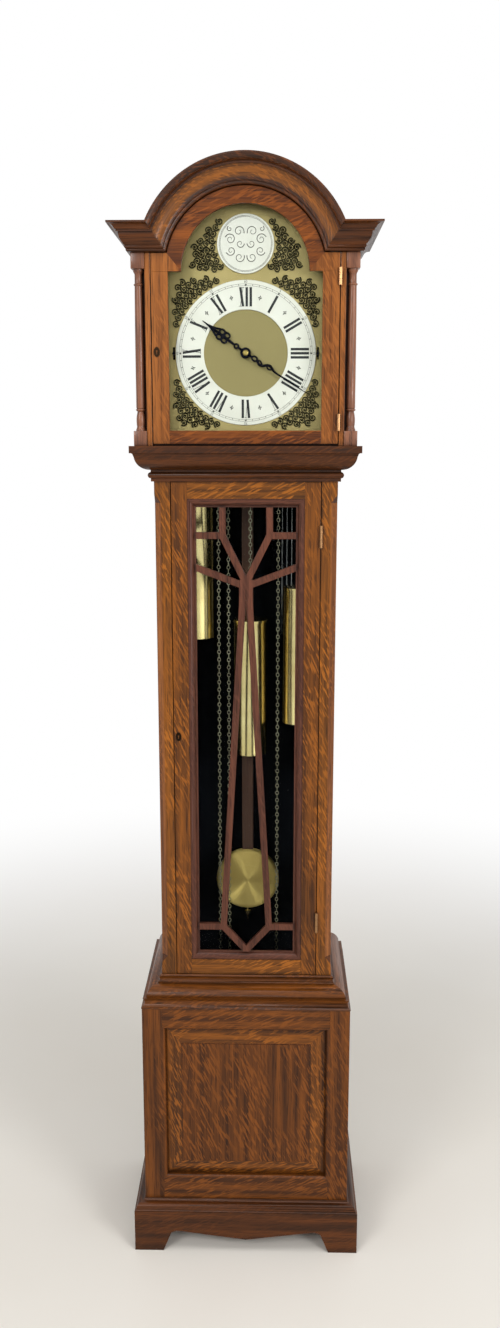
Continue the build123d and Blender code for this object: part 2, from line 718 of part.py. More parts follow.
def build_trunk_door():
    """Glazed door with its moulding, lattice, hinges and lock."""
    low = DOOR_FOOT + DOOR_CLEAR
    high = DOOR_HEAD - DOOR_CLEAR
    depth = (TRUNK_FRONT_Y, TRUNK_BACK_Y)
    opening = DOOR_HALF - DOOR_STILE_W
    keyhole_z = (DOOR_FOOT + DOOR_HEAD) / 2 + TRUNK_LOCK_RISE
    lock_args = (-DOOR_HALF, TRUNK_FRONT_Y, FRAME_DEPTH, keyhole_z)
    right = block((opening, DOOR_HALF), depth, (low, high))
    left = mirror(right, about=Plane.YZ) - mortise(*lock_args, LOCK_CLEAR)
    top = block((-opening, opening), depth, (high - DOOR_RAIL_H, high))
    bottom = block((-opening, opening), depth, (low, low + DOOR_RAIL_H))
    node("trunk_door_frame", left, right, top, bottom)

    inner_low, inner_high = low + DOOR_RAIL_H, high - DOOR_RAIL_H
    front = TRUNK_FRONT_Y + DOOR_MOULDING_SET
    glass_y = front + DOOR_MOULDING_DEPTH
    profile = [
        (0, glass_y),
        (0, front),
        (0.25 * DOOR_MOULDING_W, front),
        (0.8 * DOOR_MOULDING_W, front + 0.7 * DOOR_MOULDING_DEPTH, -1.6),
        (DOOR_MOULDING_W, front + 0.7 * DOOR_MOULDING_DEPTH),
        (DOOR_MOULDING_W, glass_y),
    ]
    node("trunk_door_moulding", *mitred_frame(profile, opening, inner_low, inner_high))
    sight = (inner_low + DOOR_MOULDING_W, inner_high - DOOR_MOULDING_W)
    node("trunk_glazing_bars", along_y(lattice_face(*sight), (glass_y - BAR_DEPTH, glass_y)))
    pane = block(
        (GLASS_CLEAR - opening, opening - GLASS_CLEAR),
        (glass_y, glass_y + GLASS_T),
        (inner_low + GLASS_CLEAR, inner_high - GLASS_CLEAR),
    )
    node("trunk_door_glass", pane)

    fixed, swinging = [], []
    axis_y = TRUNK_FRONT_Y - HINGE_SET
    for z in (DOOR_FOOT + TRUNK_HINGE_END, DOOR_HEAD - TRUNK_HINGE_END + BOARD):
        leaves = hinge(DOOR_OPENING - DOOR_GAP / 2, axis_y, z, TRUNK_HINGE_H, DOOR_OPENING, DOOR_HALF)
        fixed.append(leaves[0])
        swinging.append(leaves[1])
    node("trunk_hinge_leaves", *fixed)
    plate = escutcheon(KEYHOLE_INSET - DOOR_HALF, TRUNK_FRONT_Y, keyhole_z)
    node("trunk_door_fittings", *swinging, plate, mortise(*lock_args, 0.0))


def build_hood():
    """Hood that draws forward off the trunk: posts, sides, columns, cornice, arch and roof."""
    recess_y = HOOD_FRONT_Y + HOOD_RECESS
    post_y = (HOOD_FRONT_Y + 2, HOOD_FRONT_Y + 2 + HOOD_POST_DEPTH)
    post = block((POST_INNER, POST_OUTER), post_y, (SHELF, CORNICE_FOOT))
    rail_y = (HOOD_FRONT_Y + HOOD_DOOR_DEPTH + 2, HOOD_FRONT_Y + HOOD_DOOR_DEPTH + 2 + HOOD_RAIL_DEPTH)
    rail = block((-POST_INNER, POST_INNER), rail_y, (SHELF, SHELF + HOOD_RAIL_H))
    node("hood_front_frame", *pair(post), rail)

    side_outer = POST_OUTER + HOOD_SIDE_BOARD
    side = block((POST_OUTER, side_outer), (recess_y, BACK_Y), (SHELF, CORNICE_TOP - SHOULDER_T))
    node("hood_sides", *pair(side))

    node("hood_columns", *hood_columns(recess_y))

    profile = cornice_profile()
    raised = [(o, CORNICE_FOOT + h, *arc) for o, h, *arc in profile]
    runs = mitred_moulding(raised, HOOD_HALF, HOOD_RECESS, HOOD_HALF - side_outer)
    arch_room = arch_cut()
    front = runs[0] - arch_room
    node("hood_cornice", *front.solids(), *runs[1:])

    section = [(ARCH_INNER_R + h, HOOD_FRONT_Y - o) for o, h in chords(profile)]
    section += [(ARCH_OUTER_R, recess_y), (ARCH_INNER_R, recess_y)]
    ring = revolve(Pos(0, 0, ARCH_Z) * outline(section), Axis((0, 0, ARCH_Z), (0, -1, 0)), 180)
    node("hood_arch_moulding", ring & arch_room)

    roof_y = (recess_y, BACK_Y)
    vault = along_y(Pos(0, ARCH_Z) * (Circle(VAULT_R) - Circle(VAULT_R - VAULT_T)), roof_y)
    roof_foot = CORNICE_TOP - SHOULDER_T
    vault &= block((-VAULT_R, VAULT_R), roof_y, (roof_foot, ARCH_Z + VAULT_R))
    shoulder = block((0, side_outer), roof_y, (roof_foot, CORNICE_TOP))
    shoulder -= along_y(Pos(0, ARCH_Z) * Circle(VAULT_R + SEAM), roof_y)
    node("hood_roof", vault, *pair(shoulder))


def cornice_profile():
    """Cornice section as (overhang, height, arc): beads, cove, fillet and an ovolo crown."""
    return [
        (4.0, 0.0),
        (6.0, 0.11 * CORNICE_H, -1.4),
        (8.0, 0.23 * CORNICE_H, -1.6),
        (17.0, 0.66 * CORNICE_H, -2.2),
        (20.0, 0.66 * CORNICE_H),
        (20.0, 0.74 * CORNICE_H),
        (22.0, 0.74 * CORNICE_H),
        (33.0, 0.93 * CORNICE_H, 2.4),
        (34.0, 0.93 * CORNICE_H),
        (34.0, CORNICE_H),
    ]


def chords(profile):
    """Profile with each arc drawn as two straight steps, for the turn of the arch."""
    points = []
    for index, (overhang, height, *arc) in enumerate(profile):
        if arc:
            start = profile[index - 1]
            run, rise = overhang - start[0], height - start[1]
            share = arc[0] / math.hypot(run, rise)
            points.append((start[0] + run / 2 + rise * share, start[1] + rise / 2 - run * share))
        points.append((overhang, height))
    return points


def arch_cut():
    """Wedge of space that the arch moulding fills, bounded by its mitres with the cornice."""
    foot_x = math.sqrt(ARCH_INNER_R**2 - ARCH_DROP**2)
    head_x = math.sqrt(ARCH_OUTER_R**2 - (ARCH_DROP + CORNICE_H) ** 2)
    slope = (head_x - foot_x) / CORNICE_H
    rise = ARCH_OUTER_R + CORNICE_H
    low_x = foot_x - slope * ARCH_DROP
    right = [(low_x, ARCH_Z), (low_x + slope * rise, ARCH_Z + rise)]
    left = [(-x, z) for x, z in reversed(right)]
    return along_y(outline(right + left), (HOOD_FRONT_Y - HOOD_HALF, HOOD_FRONT_Y + HOOD_RECESS))


def hood_columns(recess_y):
    """Turned columns between square blocks at the front corners."""
    x = (POST_OUTER + HOOD_HALF) / 2
    y = (HOOD_FRONT_Y + recess_y) / 2
    sides = ((POST_OUTER, HOOD_HALF), (HOOD_FRONT_Y, recess_y))
    low = SHELF + COLUMN_BLOCK_FOOT_H
    high = CORNICE_FOOT - COLUMN_BLOCK_TOP_H
    vase, neck = low + COLUMN_VASE_H, high - COLUMN_NECK_H
    side = [
        (COLUMN_RING_R, low),
        (COLUMN_RING_R, low + RING_H),
        (COLUMN_R_FOOT - 1.5, low + 2 * RING_H),
        (COLUMN_R_FOOT - 1.0, vase - 2 * RING_H),
        (COLUMN_RING_R, vase - RING_H),
        (COLUMN_R_FOOT, vase),
        (COLUMN_R_TOP, neck),
        (COLUMN_RING_R - 0.6, neck + RING_H / 2),
        (COLUMN_R_TOP, neck + RING_H),
        (COLUMN_RING_R, high),
    ]
    turned = Pos(x, y, 0) * turned_bar(side, COLUMN_SIDES)
    foot = block(*sides, (SHELF, low))
    cap = block(*sides, (high, CORNICE_FOOT))
    return [*pair(turned), *pair(foot), *pair(cap)]


def arched_face(half, foot, radius, grow=0.0):
    """Break-arch outline in (X, Z): a rectangle under a half round on narrow shoulders."""
    low = foot - grow
    high = ARCH_Z + grow
    body = Pos(0, (low + high) / 2) * Rectangle(2 * (half + grow), high - low)
    return body + Pos(0, ARCH_Z) * Circle(radius + grow)


def build_hood_door():
    """Arched glazed door with hinges and lock."""
    depth = (HOOD_FRONT_Y, HOOD_FRONT_Y + HOOD_DOOR_DEPTH)
    foot = SHELF + HOOD_DOOR_FOOT
    glass_y = HOOD_FRONT_Y + REBATE_SET
    rebate_face = arched_face(APERTURE_HALF, APERTURE_FOOT, DIAL_ARCH_R, REBATE + GLASS_CLEAR)
    rebate = along_y(rebate_face, (glass_y, depth[1]))
    keyhole_z = DIAL_Z
    lock_args = (-HOOD_DOOR_HALF, HOOD_FRONT_Y, HOOD_DOOR_DEPTH, keyhole_z)

    right = block((APERTURE_HALF, HOOD_DOOR_HALF), depth, (foot, ARCH_Z))
    left = mirror(right, about=Plane.YZ) - mortise(*lock_args, LOCK_CLEAR)
    rail = block((-APERTURE_HALF, APERTURE_HALF), depth, (foot, APERTURE_FOOT))
    shoulder = CORNICE_FOOT - HOOD_DOOR_ARCH_CLEAR
    head_face = Pos(0, (ARCH_Z + shoulder) / 2) * Rectangle(2 * HOOD_DOOR_HALF, shoulder - ARCH_Z)
    door_arch_r = ARCH_INNER_R - HOOD_DOOR_ARCH_CLEAR
    above = Pos(0, ARCH_Z + door_arch_r) * Rectangle(4 * door_arch_r, 2 * door_arch_r)
    head_face += (Pos(0, ARCH_Z) * Circle(door_arch_r)) & above
    head_face -= Pos(0, ARCH_Z) * Circle(DIAL_ARCH_R)
    head = along_y(head_face, depth)
    node("hood_door_frame", *[piece - rebate for piece in (left, right, rail, head)])

    pane = arched_face(APERTURE_HALF, APERTURE_FOOT, DIAL_ARCH_R, REBATE)
    node("hood_door_glass", along_y(pane, (glass_y, glass_y + GLASS_T)))

    fixed, swinging = [], []
    axis_y = HOOD_FRONT_Y - HINGE_SET
    for z in (SHELF + HOOD_HINGE_END, CORNICE_FOOT - HOOD_HINGE_END):
        leaves = hinge(POST_INNER - DOOR_GAP / 2, axis_y, z, HOOD_HINGE_H, POST_INNER, HOOD_DOOR_HALF)
        fixed.append(leaves[0])
        swinging.append(leaves[1])
    node("hood_hinge_leaves", *fixed)
    plate = escutcheon(KEYHOLE_INSET - HOOD_DOOR_HALF, HOOD_FRONT_Y, keyhole_z)
    node("hood_door_fittings", *swinging, plate, mortise(*lock_args, 0.0))


def build_dial():
    """Arched dial plate on feet, with ring, spandrels, boss and silencing levers."""
    back = DIAL_Y + DIAL_T
    arbor = Pos(0, DIAL_Z) * hole(HOUR_PIPE_R + ARBOR_CLEAR)
    slot_x = APERTURE_HALF - LEVER_SLOT_INSET
    face = arched_face(APERTURE_HALF, APERTURE_FOOT, DIAL_ARCH_R, DIAL_MARGIN) - arbor
    for side in (1, -1):
        face -= Pos(side * slot_x, DIAL_Z) * Rectangle(LEVER_W + 2 * LEVER_CLEAR, LEVER_SLOT_H)
    plate = along_y(face, (DIAL_Y, back))
    left, right, low, high = movement_limits()
    for x in (left + PILLAR_INSET, right - PILLAR_INSET):
        for z in (low + PILLAR_INSET, high - PILLAR_INSET):
            plate += rod_y(DIAL_FOOT_R, x, (back, MOVEMENT_FRONT_Y), z)
    node("dial_plate", plate)

    ring = Pos(0, DIAL_Z) * (Circle(RING_R) - Circle(RING_R - RING_BAND))
    node("chapter_ring", along_y(ring, (DIAL_Y - RING_T, DIAL_Y)))

    spandrel_y = (DIAL_Y - SPANDREL_T, DIAL_Y)
    corner = DIAL_HALF - SPANDREL_MARGIN
    tip = corner - SPANDREL_REACH
    near = (RING_R + SPANDREL_GAP) / math.sqrt(2)
    inner_arc = ThreePointArc((corner, tip), (near, near), (tip, corner))
    edges = [inner_arc, Line((tip, corner), (corner, corner)), Line((corner, corner), (corner, tip))]
    quarter = Pos(0, DIAL_Z) * make_face(edges)
    upper = pair(along_y(quarter, spandrel_y))
    lower = [mirror(piece, about=Plane.XY.offset(DIAL_Z)) for piece in upper]
    boss_z = ARCH_Z + BOSS_R
    arch_r = DIAL_ARCH_R - 2 * SPANDREL_MARGIN
    foot = 2 * SPANDREL_MARGIN
    room = Pos(0, ARCH_Z) * Circle(arch_r) - Pos(0, boss_z) * Circle(BOSS_R + SPANDREL_GAP)
    window = Pos(arch_r / 2 + BOSS_R / 4, ARCH_Z + foot + arch_r / 2) * Rectangle(
        arch_r - BOSS_R / 2, arch_r - BOSS_R / 4
    )
    arch_piece = along_y(room & window, spandrel_y)
    node("dial_spandrels", *upper, *lower, *pair(arch_piece))

    node("arch_boss", rod_y(BOSS_R, 0, (DIAL_Y - BOSS_T, DIAL_Y), boss_z))

    for name, side in (("strike_lever", -1), ("chime_lever", 1)):
        node(name, silencing_lever(side * slot_x, back))


def silencing_lever(x, back):
    """Slider in a slot of the dial: a knob in front, a stem and a plate behind."""
    front = DIAL_Y - SPANDREL_T - LEVER_CLEAR
    half = LEVER_W / 2
    knob = rod_y(LEVER_KNOB_R, x, (front - LEVER_W, front), DIAL_Z)
    stem = block((x - half, x + half), (front, back + LEVER_CLEAR), (DIAL_Z - half, DIAL_Z + half))
    plate_y = (back + LEVER_CLEAR, back + LEVER_CLEAR + half)
    slide = block((x - LEVER_W, x + LEVER_W), plate_y, (DIAL_Z - 2 * LEVER_W, DIAL_Z + 2 * LEVER_W))
    return knob + stem + slide


def turned_hand(face, angle, front):
    """Hand drawn upright about the dial centre, turned clockwise to its angle."""
    return along_y(Pos(0, DIAL_Z) * Rot(0, 0, -angle) * face, (front, front + HAND_T))


def hour_hand_face():
    """Short pierced hand: stem, cross of rings and a spear point."""
    middle = 0.47 * HOUR_HAND_L
    lobe = 0.055 * HOUR_HAND_L
    face = disc(HOUR_PIPE_R + HUB_RIM) + Pos(0, middle / 2) * Rectangle(4, middle)
    face += Pos(0, middle) * disc(2 * lobe)
    for x, z in ((-2.1, 0), (2.1, 0), (0, 2.1), (0, -2.1)):
        face += Pos(x * lobe, middle + z * lobe) * disc(lobe)
    spear_foot = middle + 2.6 * lobe
    face += outline([(-2.8, spear_foot), (2.8, spear_foot), (0.5, HOUR_HAND_L), (-0.5, HOUR_HAND_L)])
    face -= Pos(0, middle) * disc(1.15 * lobe)
    return face - hole(HOUR_PIPE_R)


def minute_hand_face():
    """Long pierced hand: a row of rings and a slender point."""
    face = disc(CANNON_R + HUB_RIM) + Pos(0, 0.1 * MINUTE_HAND_L) * Rectangle(3.5, 0.2 * MINUTE_HAND_L)
    for share, radius in ((0.22, 5.4), (0.30, 4.8), (0.37, 4.2)):
        ring = Pos(0, share * MINUTE_HAND_L)
        face += ring * disc(radius)
        face -= ring * disc(radius - 2.0)
    spear_foot = 0.40 * MINUTE_HAND_L
    face += outline([(-2.2, spear_foot), (2.2, spear_foot), (0.5, MINUTE_HAND_L), (-0.5, MINUTE_HAND_L)])
    return face - hole(CANNON_R)


def build_hands():
    """Hands and the motion work behind the dial that gears them twelve to one."""
    ring_face = DIAL_Y - RING_T
    hour_y = ring_face - HOUR_HAND_LIFT
    minute_y = ring_face - MINUTE_HAND_LIFT
    plate_y = MOVEMENT_FRONT_Y
    node("hour_hand", turned_hand(hour_hand_face(), HOUR_ANGLE, hour_y))
    nut = rod_y(NUT_R, 0, (minute_y - NUT_H, minute_y), DIAL_Z)
    nut -= bore_y(ARBOR_R + RUNNING_FIT, 0, (minute_y - NUT_H / 2, minute_y), DIAL_Z)
    node("minute_hand", turned_hand(minute_hand_face(), MINUTE_ANGLE, minute_y), nut)

    angle = math.radians(MINUTE_STUD_ANGLE)
    stud_x = MOTION_CENTRES * math.cos(angle)
    stud_z = DIAL_Z + MOTION_CENTRES * math.sin(angle)
    low_y = (plate_y - GEAR_T - 2, plate_y - 2)
    high_y = (low_y[0] - GEAR_T - 2, low_y[0] - 2)
    cannon_share = MOTION_CENTRES * CANNON_TEETH / (CANNON_TEETH + MINUTE_TEETH)
    pinion_share = MOTION_CENTRES * MINUTE_PINION_TEETH / (MINUTE_PINION_TEETH + HOUR_TEETH)

    bore = bore_y(ARBOR_R + RUNNING_FIT, 0, (minute_y, plate_y), DIAL_Z)
    pinion = toothed_face(CANNON_TEETH, cannon_share, MINUTE_STUD_ANGLE)
    cannon = along_y(Pos(0, DIAL_Z) * pinion, low_y)
    cannon += rod_y(CANNON_R, 0, (minute_y, low_y[1]), DIAL_Z)
    node("cannon_pinion", cannon - bore)

    wheel = toothed_face(HOUR_TEETH, MOTION_CENTRES - pinion_share, MINUTE_STUD_ANGLE)
    hour = along_y(Pos(0, DIAL_Z) * wheel, high_y)
    hour += rod_y(HOUR_PIPE_R, 0, (hour_y, high_y[1]), DIAL_Z)
    node("hour_wheel", hour - bore_y(CANNON_R + RUNNING_FIT, 0, (hour_y, high_y[1]), DIAL_Z))

    back_angle = MINUTE_STUD_ANGLE + 180
    gap = 180 / MINUTE_TEETH
    half_pitch = 180 / MINUTE_PINION_TEETH
    stud_place = Pos(stud_x, stud_z)
    wheel = toothed_face(MINUTE_TEETH, MOTION_CENTRES - cannon_share, back_angle + gap)
    minute = along_y(stud_place * wheel, low_y)
    leaf_y = (high_y[0] - 1, low_y[0])
    pinion = toothed_face(MINUTE_PINION_TEETH, pinion_share, back_angle + half_pitch)
    minute += along_y(stud_place * pinion, leaf_y)
    minute -= bore_y(ARBOR_R + RUNNING_FIT, stud_x, (leaf_y[0], low_y[1]), stud_z)
    node("minute_wheel", minute)
    return (stud_x, stud_z), leaf_y[0] - 1, minute_y - NUT_H / 2


def movement_limits():
    """Left, right, low and high edges of the movement's plates."""
    left = SPROCKET_X["left"] - PLATE_MARGIN
    right = SPROCKET_X["right"] + PLATE_MARGIN
    return left, right, SEAT_TOP, DIAL_Z + PLATE_TOP_RISE


def anchor_limits():
    """Depth of the anchor and of the escape wheel between its pallets."""
    high = MOVEMENT_BACK_Y - PLATE_T - ANCHOR_SET
    return high - ANCHOR_T, high


def hammer_bar_z():
    """Height of the hammers' arbor."""
    return SEAT_TOP + HAMMER_ARBOR_RISE


def chime_places():
    """X of each chime rod and hammer."""
    return [CHIME_X + (index - (CHIME_COUNT - 1) / 2) * CHIME_PITCH for index in range(CHIME_COUNT)]


def build_movement(stud, stud_end, arbor_end):
    """Plates, pillars, fixed train wheels, seat board and suspension cock."""
    left, right, low, high = movement_limits()
    front_y = (MOVEMENT_FRONT_Y, MOVEMENT_FRONT_Y + PLATE_T)
    back_y = (MOVEMENT_BACK_Y - PLATE_T, MOVEMENT_BACK_Y)
    between = (front_y[1], back_y[0])
    front = block((left, right), front_y, (low, high))
    back = block((left, right), back_y, (low, high))
    for x in SPROCKET_X.values():
        front -= bore_y(SPROCKET_ARBOR_R + RUNNING_FIT, x, front_y, SPROCKET_Z)
        back -= bore_y(SPROCKET_ARBOR_R + RUNNING_FIT, x, back_y, SPROCKET_Z)
    front -= bore_y(ARBOR_R, 0, front_y, DIAL_Z)
    front += rod_y(ARBOR_R, stud[0], (stud_end, front_y[0]), stud[1])
    back -= bore_y(ARBOR_R + RUNNING_FIT, 0, back_y, PIVOT_Z)

    cock_foot = PIVOT_Z + FORK_CLEAR
    cock_y = (back_y[1], PENDULUM_Y + ROD_T)
    cock_half = SPRING_W + ROD_T
    back += block((-cock_half, cock_half), cock_y, (cock_foot + ROD_T, cock_foot + 2 * ROD_T))
    chop_y = (PENDULUM_Y - ROD_T / 2, PENDULUM_Y + ROD_T / 2)
    back += block((-SPRING_W, SPRING_W), chop_y, (cock_foot, cock_foot + ROD_T))

    places = chime_places()
    bar_z = hammer_bar_z()
    for x in (places[0] - CHIME_PITCH, places[-1] + CHIME_PITCH):
        ear_x = (x - PLATE_T / 2, x + PLATE_T / 2)
        ear_z = (bar_z - 2 * PLATE_T, bar_z + 2 * PLATE_T)
        ear = block(ear_x, (back_y[1], HAMMER_ARBOR_Y + 2 * PLATE_T), ear_z)
        back += ear - along_x(Pos(HAMMER_ARBOR_Y, bar_z) * hole(ARBOR_R + RUNNING_FIT), ear_x)
    pillars = [
        rod_y(PILLAR_R, x, between, z)
        for x in (left + PILLAR_INSET, right - PILLAR_INSET)
        for z in (low + PILLAR_INSET, high - PILLAR_INSET)
    ]
    node("movement_frame", front, back, *pillars)

    centre_y = (between[0] + WHEEL_SET, between[0] + WHEEL_SET + WHEEL_T)
    plain_wheel = ratchet_face(WHEEL_TEETH, WHEEL_R, WHEEL_ROOT_R)
    centre = along_y(Pos(0, DIAL_Z) * plain_wheel, centre_y)
    centre += rod_y(ARBOR_R, 0, (arbor_end, between[1]), DIAL_Z)
    escape_y = anchor_limits()
    escape_z = PIVOT_Z - ESCAPE_DROP
    escape = along_y(Pos(0, escape_z) * ratchet_face(WHEEL_TEETH, ESCAPE_R, ESCAPE_ROOT_R), escape_y)
    escape += rod_y(ARBOR_R, 0, between, escape_z)
    wheels = [centre, escape]
    for x in (SPROCKET_X["left"], SPROCKET_X["right"]):
        upper = along_y(Pos(x, DIAL_Z) * plain_wheel, centre_y)
        wheels.append(upper + rod_y(ARBOR_R, x, between, DIAL_Z))
    node("train_wheels", *wheels)

    seat_y = (TRUNK_FRONT_Y + SEAT_FRONT_SET, SEAT_BACK_Y)
    seat = block((-TRUNK_HALF, TRUNK_HALF), seat_y, (SEAT_FOOT, SEAT_TOP))
    slot_y = (DRIVE_Y - CHAIN_SLOT, DRIVE_Y + CHAIN_SLOT)
    for low_x, high_x in ((WEIGHT_X["left"], WEIGHT_X["centre"]), (FREE_X["right"], WEIGHT_X["right"])):
        seat -= block((low_x - CHAIN_SLOT, high_x + CHAIN_SLOT), slot_y, (SEAT_FOOT, SEAT_TOP))
    swing = (PIVOT_Z - SEAT_FOOT) * math.tan(math.radians(SWING_DEG))
    half = ROD_W / 2 + swing + ROD_T / 2
    seat -= block((-half, half), (PENDULUM_Y - ROD_T, PENDULUM_Y + ROD_T), (SEAT_FOOT, SEAT_TOP))
    node("seat_board", seat)


def link(turned):
    """One flat-sided chain link about the origin, seen broad or edge-on."""
    length = LINK_PITCH + LINK_PLAY
    width = LINK_HOLE_W + 2 * LINK_WIRE
    ring = Rectangle(width, length + 2 * LINK_WIRE) - Rectangle(LINK_HOLE_W, length)
    return Rot(0, 0, 90 if turned else 0) * along_y(ring, (-LINK_WIRE / 2, LINK_WIRE / 2))


def strand(x, count):
    """Links that hang from the sprocket's level, and the height of the ring that ends them."""
    links = []
    for index in range(count):
        z = SPROCKET_Z - (index + 0.5) * LINK_PITCH
        links.append(Pos(x, DRIVE_Y, z) * link((count - index) % 2 == 1))
    foot = SPROCKET_Z - count * LINK_PITCH
    return links, foot - LINK_PLAY / 2 - HOOK_HOLE_R + HOOK_PLAY


def chain_wrap(x, first_turned):
    """Links that lie over the top of a sprocket."""
    links = []
    step = 360 / TURN_LINK_COUNT
    reach = SPROCKET_R * math.cos(math.radians(step / 2))
    for index in range(TURN_LINK_COUNT // 2):
        angle = (index + 0.5) * step - 90
        turned = (index % 2 == 0) == first_turned
        place = Pos(x, DRIVE_Y, SPROCKET_Z) * Rot(0, angle, 0) * Pos(0, 0, reach)
        links.append(place * Rot(0, 90, 0) * link(turned))
    return links


def hook_ring(x, z):
    """Flat ring that the lowest link passes through."""
    limits = (DRIVE_Y - HOOK_T / 2, DRIVE_Y + HOOK_T / 2)
    return along_y(Pos(x, z) * (disc(HOOK_R) - hole(HOOK_HOLE_R)), limits)


def build_drive():
    """Weights, chains and sprockets of the three trains."""
    wraps = []
    for side, count in WEIGHT_LINK_COUNT.items():
        x = WEIGHT_X[side]
        links, hook_z = strand(x, count)
        top = hook_z - HOOK_RISE
        body = rod_z(WEIGHT_R, x, DRIVE_Y, (top - WEIGHT_H, top))
        body += rod_z(HOOK_T, x, DRIVE_Y, (top, hook_z - (HOOK_R + HOOK_HOLE_R) / 2))
        node(f"weight_{side}", body + hook_ring(x, hook_z))
        node(f"weight_chain_{side}", *links)
        free_links, free_z = strand(FREE_X[side], CHAIN_LINK_COUNT[side] - count)
        node(f"free_chain_{side}", hook_ring(FREE_X[side], free_z), *free_links)
        node(f"sprocket_{side}", sprocket(SPROCKET_X[side]))
        left_count = count if side == "left" else CHAIN_LINK_COUNT[side] - count
        wraps += chain_wrap(SPROCKET_X[side], left_count % 2 == 0)
    node("chain_wraps", *wraps)


def sprocket(x):
    """Chain drum with two flanges on an arbor between the plates."""
    groove = LINK_HOLE_W / 2 + LINK_WIRE + SPROCKET_PLAY
    drum_r = SPROCKET_R * math.cos(math.pi / TURN_LINK_COUNT) - groove
    flange = Pos(x, SPROCKET_Z) * disc(SPROCKET_R + FLANGE_LIP)
    drum = Pos(x, SPROCKET_Z) * disc(drum_r)
    wheel = along_y(drum, (DRIVE_Y - groove, DRIVE_Y + groove))
    for low in (DRIVE_Y - groove - FLANGE_T, DRIVE_Y + groove):
        wheel += along_y(flange, (low, low + FLANGE_T))
    great_low = MOVEMENT_FRONT_Y + PLATE_T + GREAT_WHEEL_SET
    great = Pos(x, SPROCKET_Z) * ratchet_face(WHEEL_TEETH, WHEEL_R, WHEEL_ROOT_R)
    wheel += along_y(great, (great_low, great_low + WHEEL_T))
    return wheel + rod_y(SPROCKET_ARBOR_R, x, (MOVEMENT_FRONT_Y, MOVEMENT_BACK_Y), SPROCKET_Z)


def build_pendulum():
    """Spring, wooden rod and bob, with the anchor and crutch that keep it going."""
    half_spring = SPRING_W / 2
    spring_y = (PENDULUM_Y - SPRING_T / 2, PENDULUM_Y + SPRING_T / 2)
    rod_top = PIVOT_Z - SPRING_L
    node("suspension_spring", block((-half_spring, half_spring), spring_y, (rod_top, PIVOT_Z)))
    bob_z = PIVOT_Z - PENDULUM_L
    rod_foot = bob_z + 0.55 * BOB_R
    rod_y_limits = (PENDULUM_Y - ROD_T / 2, PENDULUM_Y + ROD_T / 2)
    node("pendulum_rod", block((-ROD_W / 2, ROD_W / 2), rod_y_limits, (rod_foot, rod_top)))

    half = BOB_T / 2
    rim = BOB_RIM_T / 2
    lens = [(BOB_CROWN_R, -half), (BOB_R, -rim), (BOB_R, rim), (BOB_CROWN_R, half)]
    bob = Rot(90, 0, 0) * turned_bar(lens, side_count(BOB_R))
    bob = Pos(0, PENDULUM_Y, bob_z) * bob
    slot_half = ROD_W / 2 + FORK_CLEAR
    slot_y = (rod_y_limits[0] - FORK_CLEAR, rod_y_limits[1] + FORK_CLEAR)
    bob -= block((-slot_half, slot_half), slot_y, (rod_foot, bob_z + BOB_R))
    nut_z = bob_z - BOB_R - NUT_DROP
    tail = rod_z(SPRING_W / 4, 0, PENDULUM_Y, (bob_z - BOB_R - TAIL_L, bob_z - BOB_R + 1))
    nut = rod_z(SPRING_W, 0, PENDULUM_Y, (nut_z, bob_z - BOB_R - 1))
    node("pendulum_bob", bob + tail + nut)

    anchor_y = anchor_limits()
    crutch_y = (MOVEMENT_BACK_Y + CRUTCH_T, MOVEMENT_BACK_Y + 2 * CRUTCH_T)
    reach = ESCAPE_R + ANCHOR_CLEAR
    pallet_z = PIVOT_Z - ESCAPE_DROP
    outer = reach + PALLET_W
    arms = [
        (0, PIVOT_Z + ANCHOR_HUB),
        (outer, pallet_z + PALLET_H + PALLET_W),
        (outer, pallet_z),
        (reach, pallet_z),
        (reach, pallet_z + PALLET_H),
        (0, PIVOT_Z - ANCHOR_HUB),
        (-reach, pallet_z + PALLET_H),
        (-reach, pallet_z),
        (-outer, pallet_z),
        (-outer, pallet_z + PALLET_H + PALLET_W),
    ]
    anchor = along_y(outline(arms), anchor_y)
    anchor += rod_y(ARBOR_R, 0, (anchor_y[0], crutch_y[1]), PIVOT_Z)
    crutch_foot = PIVOT_Z - CRUTCH_DROP
    anchor += block((-3, 3), crutch_y, (crutch_foot, PIVOT_Z))
    fork_in = ROD_W / 2 + FORK_CLEAR
    fork_out = fork_in + 3
    anchor += block((-fork_out, fork_out), crutch_y, (crutch_foot, crutch_foot + 5))
    for low, high in ((-fork_out, -fork_in), (fork_in, fork_out)):
        anchor += block((low, high), (crutch_y[0], PENDULUM_Y + ROD_T / 2), (crutch_foot, crutch_foot + 5))
    node("anchor_crutch", anchor)


